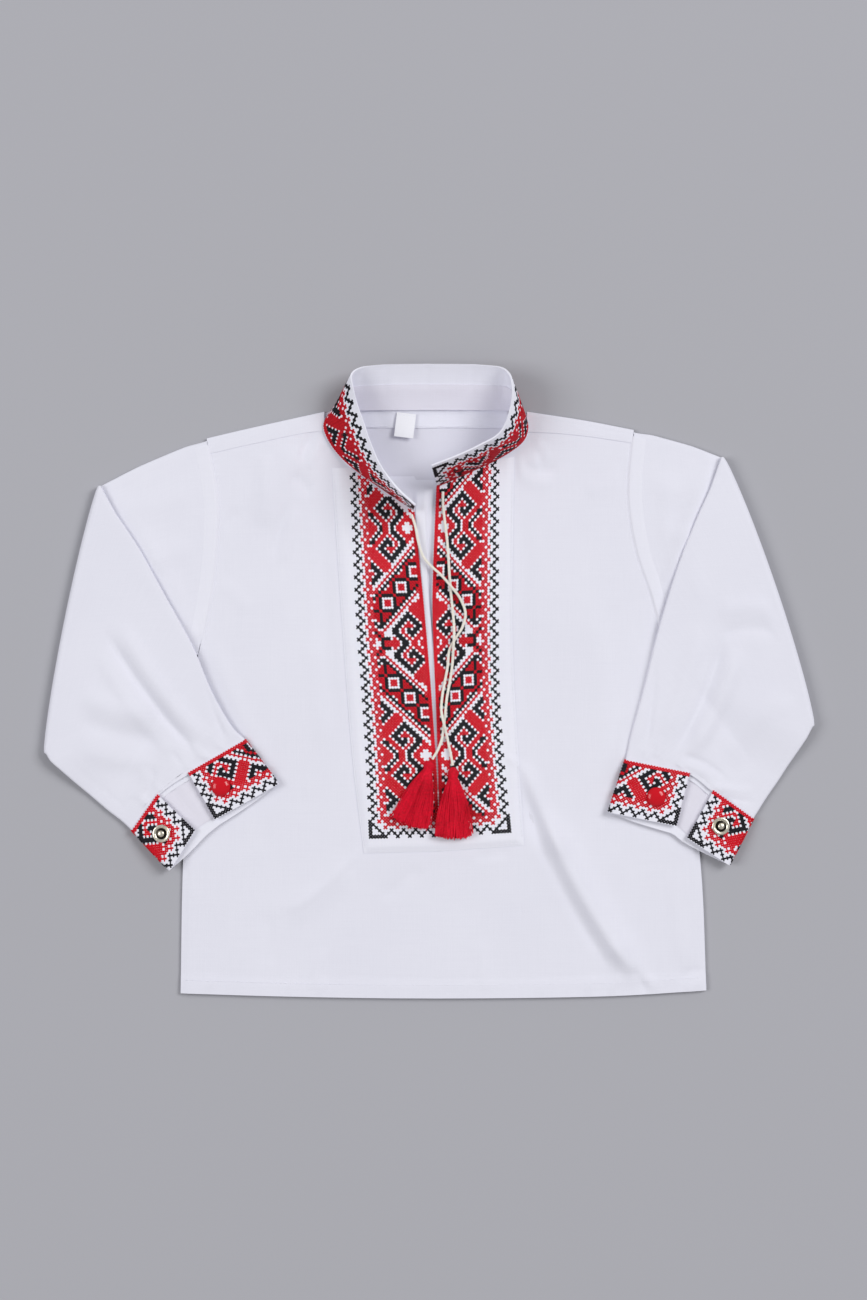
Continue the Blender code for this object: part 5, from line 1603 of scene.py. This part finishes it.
def sewBody():
    # hem, shoulders, armholes, the panel's three sides, and the hem's underside
    shares = np.linspace(0.01, 0.99, 160)
    hem = curve(outline["hem"])(shares) + np.array([0.0, body["hemDepth"] - 1.2])
    rows = [(frontTop(hem, body["hemRise"] + 0.02),)]
    for first, last in ((0.01, 0.26), (0.695, 0.99)):
        line = curve(outline["shoulderSeam"])(np.linspace(first, last, 40)) + np.array([0.0, 1.2])
        rows.append((np.column_stack([line, np.full(len(line), layers["frontMiddle"] + 0.26)]),))
    for key, inward in (("sideLeft", 2.2), ("sideRight", -2.2)):
        rows.append((frontTop(curve(outline[key])(np.linspace(0.64, 0.985, 90)) + np.array([inward, 0.0])),))
    for key, inward in (("left", 1.0), ("right", -1.0)):
        line = curve(plastron[key])(np.linspace(0.02, 0.97, 150)) + np.array([inward, 0.0])
        rows.append((frontTop(line, 0.60),))
    bottom = np.column_stack([np.linspace(-34.5, 50.5, 60), np.linspace(-93.3, -89.0, 60)])
    rows.append((frontTop(bottom, 0.60),))
    under = layers["backMiddle"] - 0.25 + creaseHeight(backCreases, hem[:, 0], hem[:, 1])
    rows.append((np.column_stack([hem, under]), (0.0, 0.0, -1.0)))
    sewRows("bodySewing", rows)


def sewNeck():
    # along both edges of the tape, and across the tag's top
    table = neck["tape"]
    x = np.linspace(table["left"] + 1, table["right"] - 1, 90)
    rows = []
    for y in (table["bottom"] + 0.9, table["top"] - 1.2):
        rows.append((np.column_stack([x, x * 0 + y, x * 0 + table["middle"] + table["wall"] / 2 + 0.08]),))
    tagTable = neck["tag"]
    x = np.linspace(-0.46, 0.46, 12) * tagTable["width"]
    y = x * 0 + tagTable["length"] / 2 - 1.1
    rows.append((np.column_stack([tagSpots(x, y), x * 0 + tagTable["low"] + 0.2]),))
    sewRows("neckSewing", rows)


seam = {"inner": -1.1, "outer": 7, "thick": 0.3, "from": 0.64, "to": 0.992}


def armholeSeam(side):
    # the seam allowance, pressed towards the sleeve: a flat band of doubled cloth along the armhole
    key, end = ("sideLeft", 0) if side == "left" else ("sideRight", -1)
    line = curve(withEnd(outline[key], outline["backTop"][end]))
    sign = sleeves[side]["sign"]

    def place(column, row):
        share = seam["from"] + (seam["to"] - seam["from"]) * row / 110
        flat = line(share)
        across = seam["inner"] + (seam["outer"] - seam["inner"]) * (column / 16) ** 1.4
        x, y = flat[:, 0] + sign * across, flat[:, 1] - 0.25 * across * smoothStep((share - 0.9) / 0.1)
        ends = smoothStep((share - 0.635) / 0.03)
        low = 2.0 + np.maximum(frontRise(x, y), 0.0)
        high = 2.62 + 0.16 * (1 - smoothStep((across - 1.0) / 5.5)) - 0.14 * smoothStep((across - 5.2) / 1.8)
        z = low + (np.maximum(high, low) - low) * smoothStep((across + 1.0) / 1.4)
        return np.column_stack([x, y, z * ends + 1.9 * (1 - ends)]), np.column_stack([x, y])

    dress(clothGrid(16, 110, place, seam["thick"]), "armholeSeam_" + side, "seamCloth")


sewBody()
sewNeck()
for side in sides:
    armholeSeam(side)
print("10/12 seams sewn")

# Press fasteners

snaps = {
    "segments": 48,
    "gap": 0.12,
    "cap": [(4.9, 0), (5.2, 0.12), (5.25, 0.35), (5.12, 0.62), (4.8, 0.95), (4.3, 1.34), (3.6, 1.72),
            (2.7, 2.03), (1.8, 2.2), (0.9, 2.28), (0.2, 2.3)],
    "stud": [(4.7, 0), (4.9, 0.2), (4.92, 0.45), (4.75, 0.72), (4.4, 0.86), (3.9, 0.86), (3.4, 0.7),
             (3.1, 0.4), (0.2, 0.3)],
    # the well: a disc in the stud's hollow, painted near black as painted shade
    "well": [(3.4, 0.2), (3.35, 0.56), (3.2, 0.64), (0.2, 0.64)],
    "knob": [(1.8, 0.6), (1.6, 0.72), (1.5, 1), (1.55, 1.35), (1.75, 1.68), (1.72, 2), (1.4, 2.28),
             (0.8, 2.45), (0.2, 2.5)],
    "parts": {"cap": [("cap", "enamel", "red_enamel")],
              "stud": [("stud", "metal", "plated_brass"), ("well", "darkMetal", "plated_brass"),
                       ("knob", "metal", "plated_brass")]},
    "places": {"cap_left": (-114.3, -57.5), "stud_left": (-146.9, -83.3), "cap_right": (124.2, -63.1),
               "stud_right": (159.6, -79.2)},
}


def turnedPiece(profile):
    # a disc pushed up and narrowed step by step, and closed at its crown
    bpy.ops.object.select_all(action="DESELECT")
    bpy.ops.mesh.primitive_circle_add(vertices=snaps["segments"], radius=profile[0][0] * mm, fill_type="NGON")
    piece = bpy.context.active_object
    bpy.ops.object.mode_set(mode="EDIT")
    bpy.ops.mesh.select_mode(type="FACE")
    bpy.ops.mesh.select_all(action="SELECT")
    for (wide, low), (narrow, high) in zip(profile, profile[1:]):
        bpy.ops.mesh.extrude_region_move(TRANSFORM_OT_translate={"value": (0, 0, (high - low) * mm)})
        bpy.ops.transform.resize(value=(narrow / wide, narrow / wide, 1.0))
    bpy.ops.mesh.merge(type="CENTER")
    bpy.ops.mesh.select_all(action="SELECT")
    bpy.ops.mesh.normals_make_consistent(inside=False)
    bpy.ops.object.mode_set(mode="OBJECT")
    bpy.ops.object.shade_smooth_by_angle(angle=math.radians(60))
    return piece


def makeSnap(name):
    # set square on the cuff, which slopes a little
    kind, side = name.split("_")
    x, y = snaps["places"][name]

    def top(px, py):
        # the cuff's upper face
        return float(forearmSupport(side, np.array(px), np.array(py))) + 2 * layers["cuffHalf"]

    leanX, leanY = (top(x + 4, y) - top(x - 4, y)) / 8, (top(x, y + 4) - top(x, y - 4)) / 8
    base = max(top(x + dx, y + dy) - leanX * dx - leanY * dy for dx in (-4, 0, 4) for dy in (-4, 0, 4))
    lean = Vector((0.0, 0.0, 1.0)).rotation_difference(Vector((-leanX, -leanY, 1.0)).normalized())
    stand = Matrix.Translation(Vector((x, y, base + snaps["gap"])) * mm) @ lean.to_matrix().to_4x4()
    for part, finish, slot in snaps["parts"][kind]:
        piece = turnedPiece(snaps[part])
        piece.data.transform(stand)
        replaced = ["snap_" + name] if part == kind else ()
        dress(piece, "snap" + part.title() + "_" + side, finish, replaced)


for name in snaps["places"]:
    makeSnap(name)
print("11/12 fasteners turned")

# Sheets listed, then the studio

sheets = [
    (backCloth, (0.29, 0.345), "laid", [], 0.085),
    (frontCloth, (0.29, 0.312), "laid", [backCloth], 0.078),
    (plastronCloth, (0.1, 0.214), "laid", [frontCloth], 0.019),
    (slitFacing, (0.034, 0.18), "laid", [backCloth], 0.0045),
    (sleeveCloths[0], (0.302, 0.196), "folded", [backCloth, frontCloth], 0.043),
    (sleeveCloths[1], (0.316, 0.196), "folded", [backCloth, frontCloth], 0.042),
    (cuffCloths[0], (0.152, 0.03), "folded", [frontCloth], 0.0045),
    (cuffCloths[1], (0.152, 0.03), "folded", [frontCloth], 0.0045),
    (collarCloth, (0.29, 0.026), "folded", [frontCloth, backCloth], 0.0068),
    (facingCloth, (0.286, 0.0135), "folded", [collarCloth], 0.0035),
    (tapeCloth, (0.088, 0.012), "laid", [backCloth], 0.00104),
    (tag, (0.0106, 0.0134), "laid", [tapeCloth], 0.000142),
]


def clothArea(piece):
    # one face of the cloth
    sizes = np.empty(len(piece.data.polygons))
    piece.data.polygons.foreach_get("area", sizes)
    return sizes.sum() / 2


for piece, flat, held, under, area in sheets:
    print("   sheet", piece.name, round(clothArea(piece) * 1e6), "mm2 of", round(flat[0] * flat[1] * 1e6))
    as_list(under)

studio = {
    "floorSize": 6,
    "world": 0.35,
    "key": {"place": (3.4, 1.9, 3.6), "size": 2.4, "power": 162},
    "fill": {"place": (-3.6, 0.2, 3.2), "size": 2.4, "power": 92},
}


def lightStudio():
    bpy.ops.object.select_all(action="DESELECT")
    bpy.ops.mesh.primitive_plane_add(size=studio["floorSize"], location=(0, 0, -0.0002))
    floor = bpy.context.active_object
    bpy.ops.object.transform_apply(location=True, rotation=True, scale=True)
    floor.name = "studioFloor"
    floor.data.materials.append(finishes["floor"])
    for name in ("key", "fill"):
        table = studio[name]
        spot = Vector(table["place"])
        bpy.ops.object.light_add(type="AREA", location=spot)
        lamp = bpy.context.active_object
        lamp.name = name + "Light"
        lamp.data.shape, lamp.data.size, lamp.data.energy = "SQUARE", table["size"], table["power"]
        lamp.rotation_euler = (-spot).to_track_quat("-Z", "Y").to_euler()
    world = bpy.data.worlds.new("softRoom")
    bpy.context.scene.world = world
    world.use_nodes = True
    backdrop = world.node_tree.nodes["Background"]
    backdrop.inputs["Color"].default_value = (0.985, 0.985, 1.0, 1.0)
    backdrop.inputs["Strength"].default_value = studio["world"]
    bpy.context.scene.view_settings.view_transform = "Standard"


lightStudio()
bpy.ops.object.select_all(action="DESELECT")
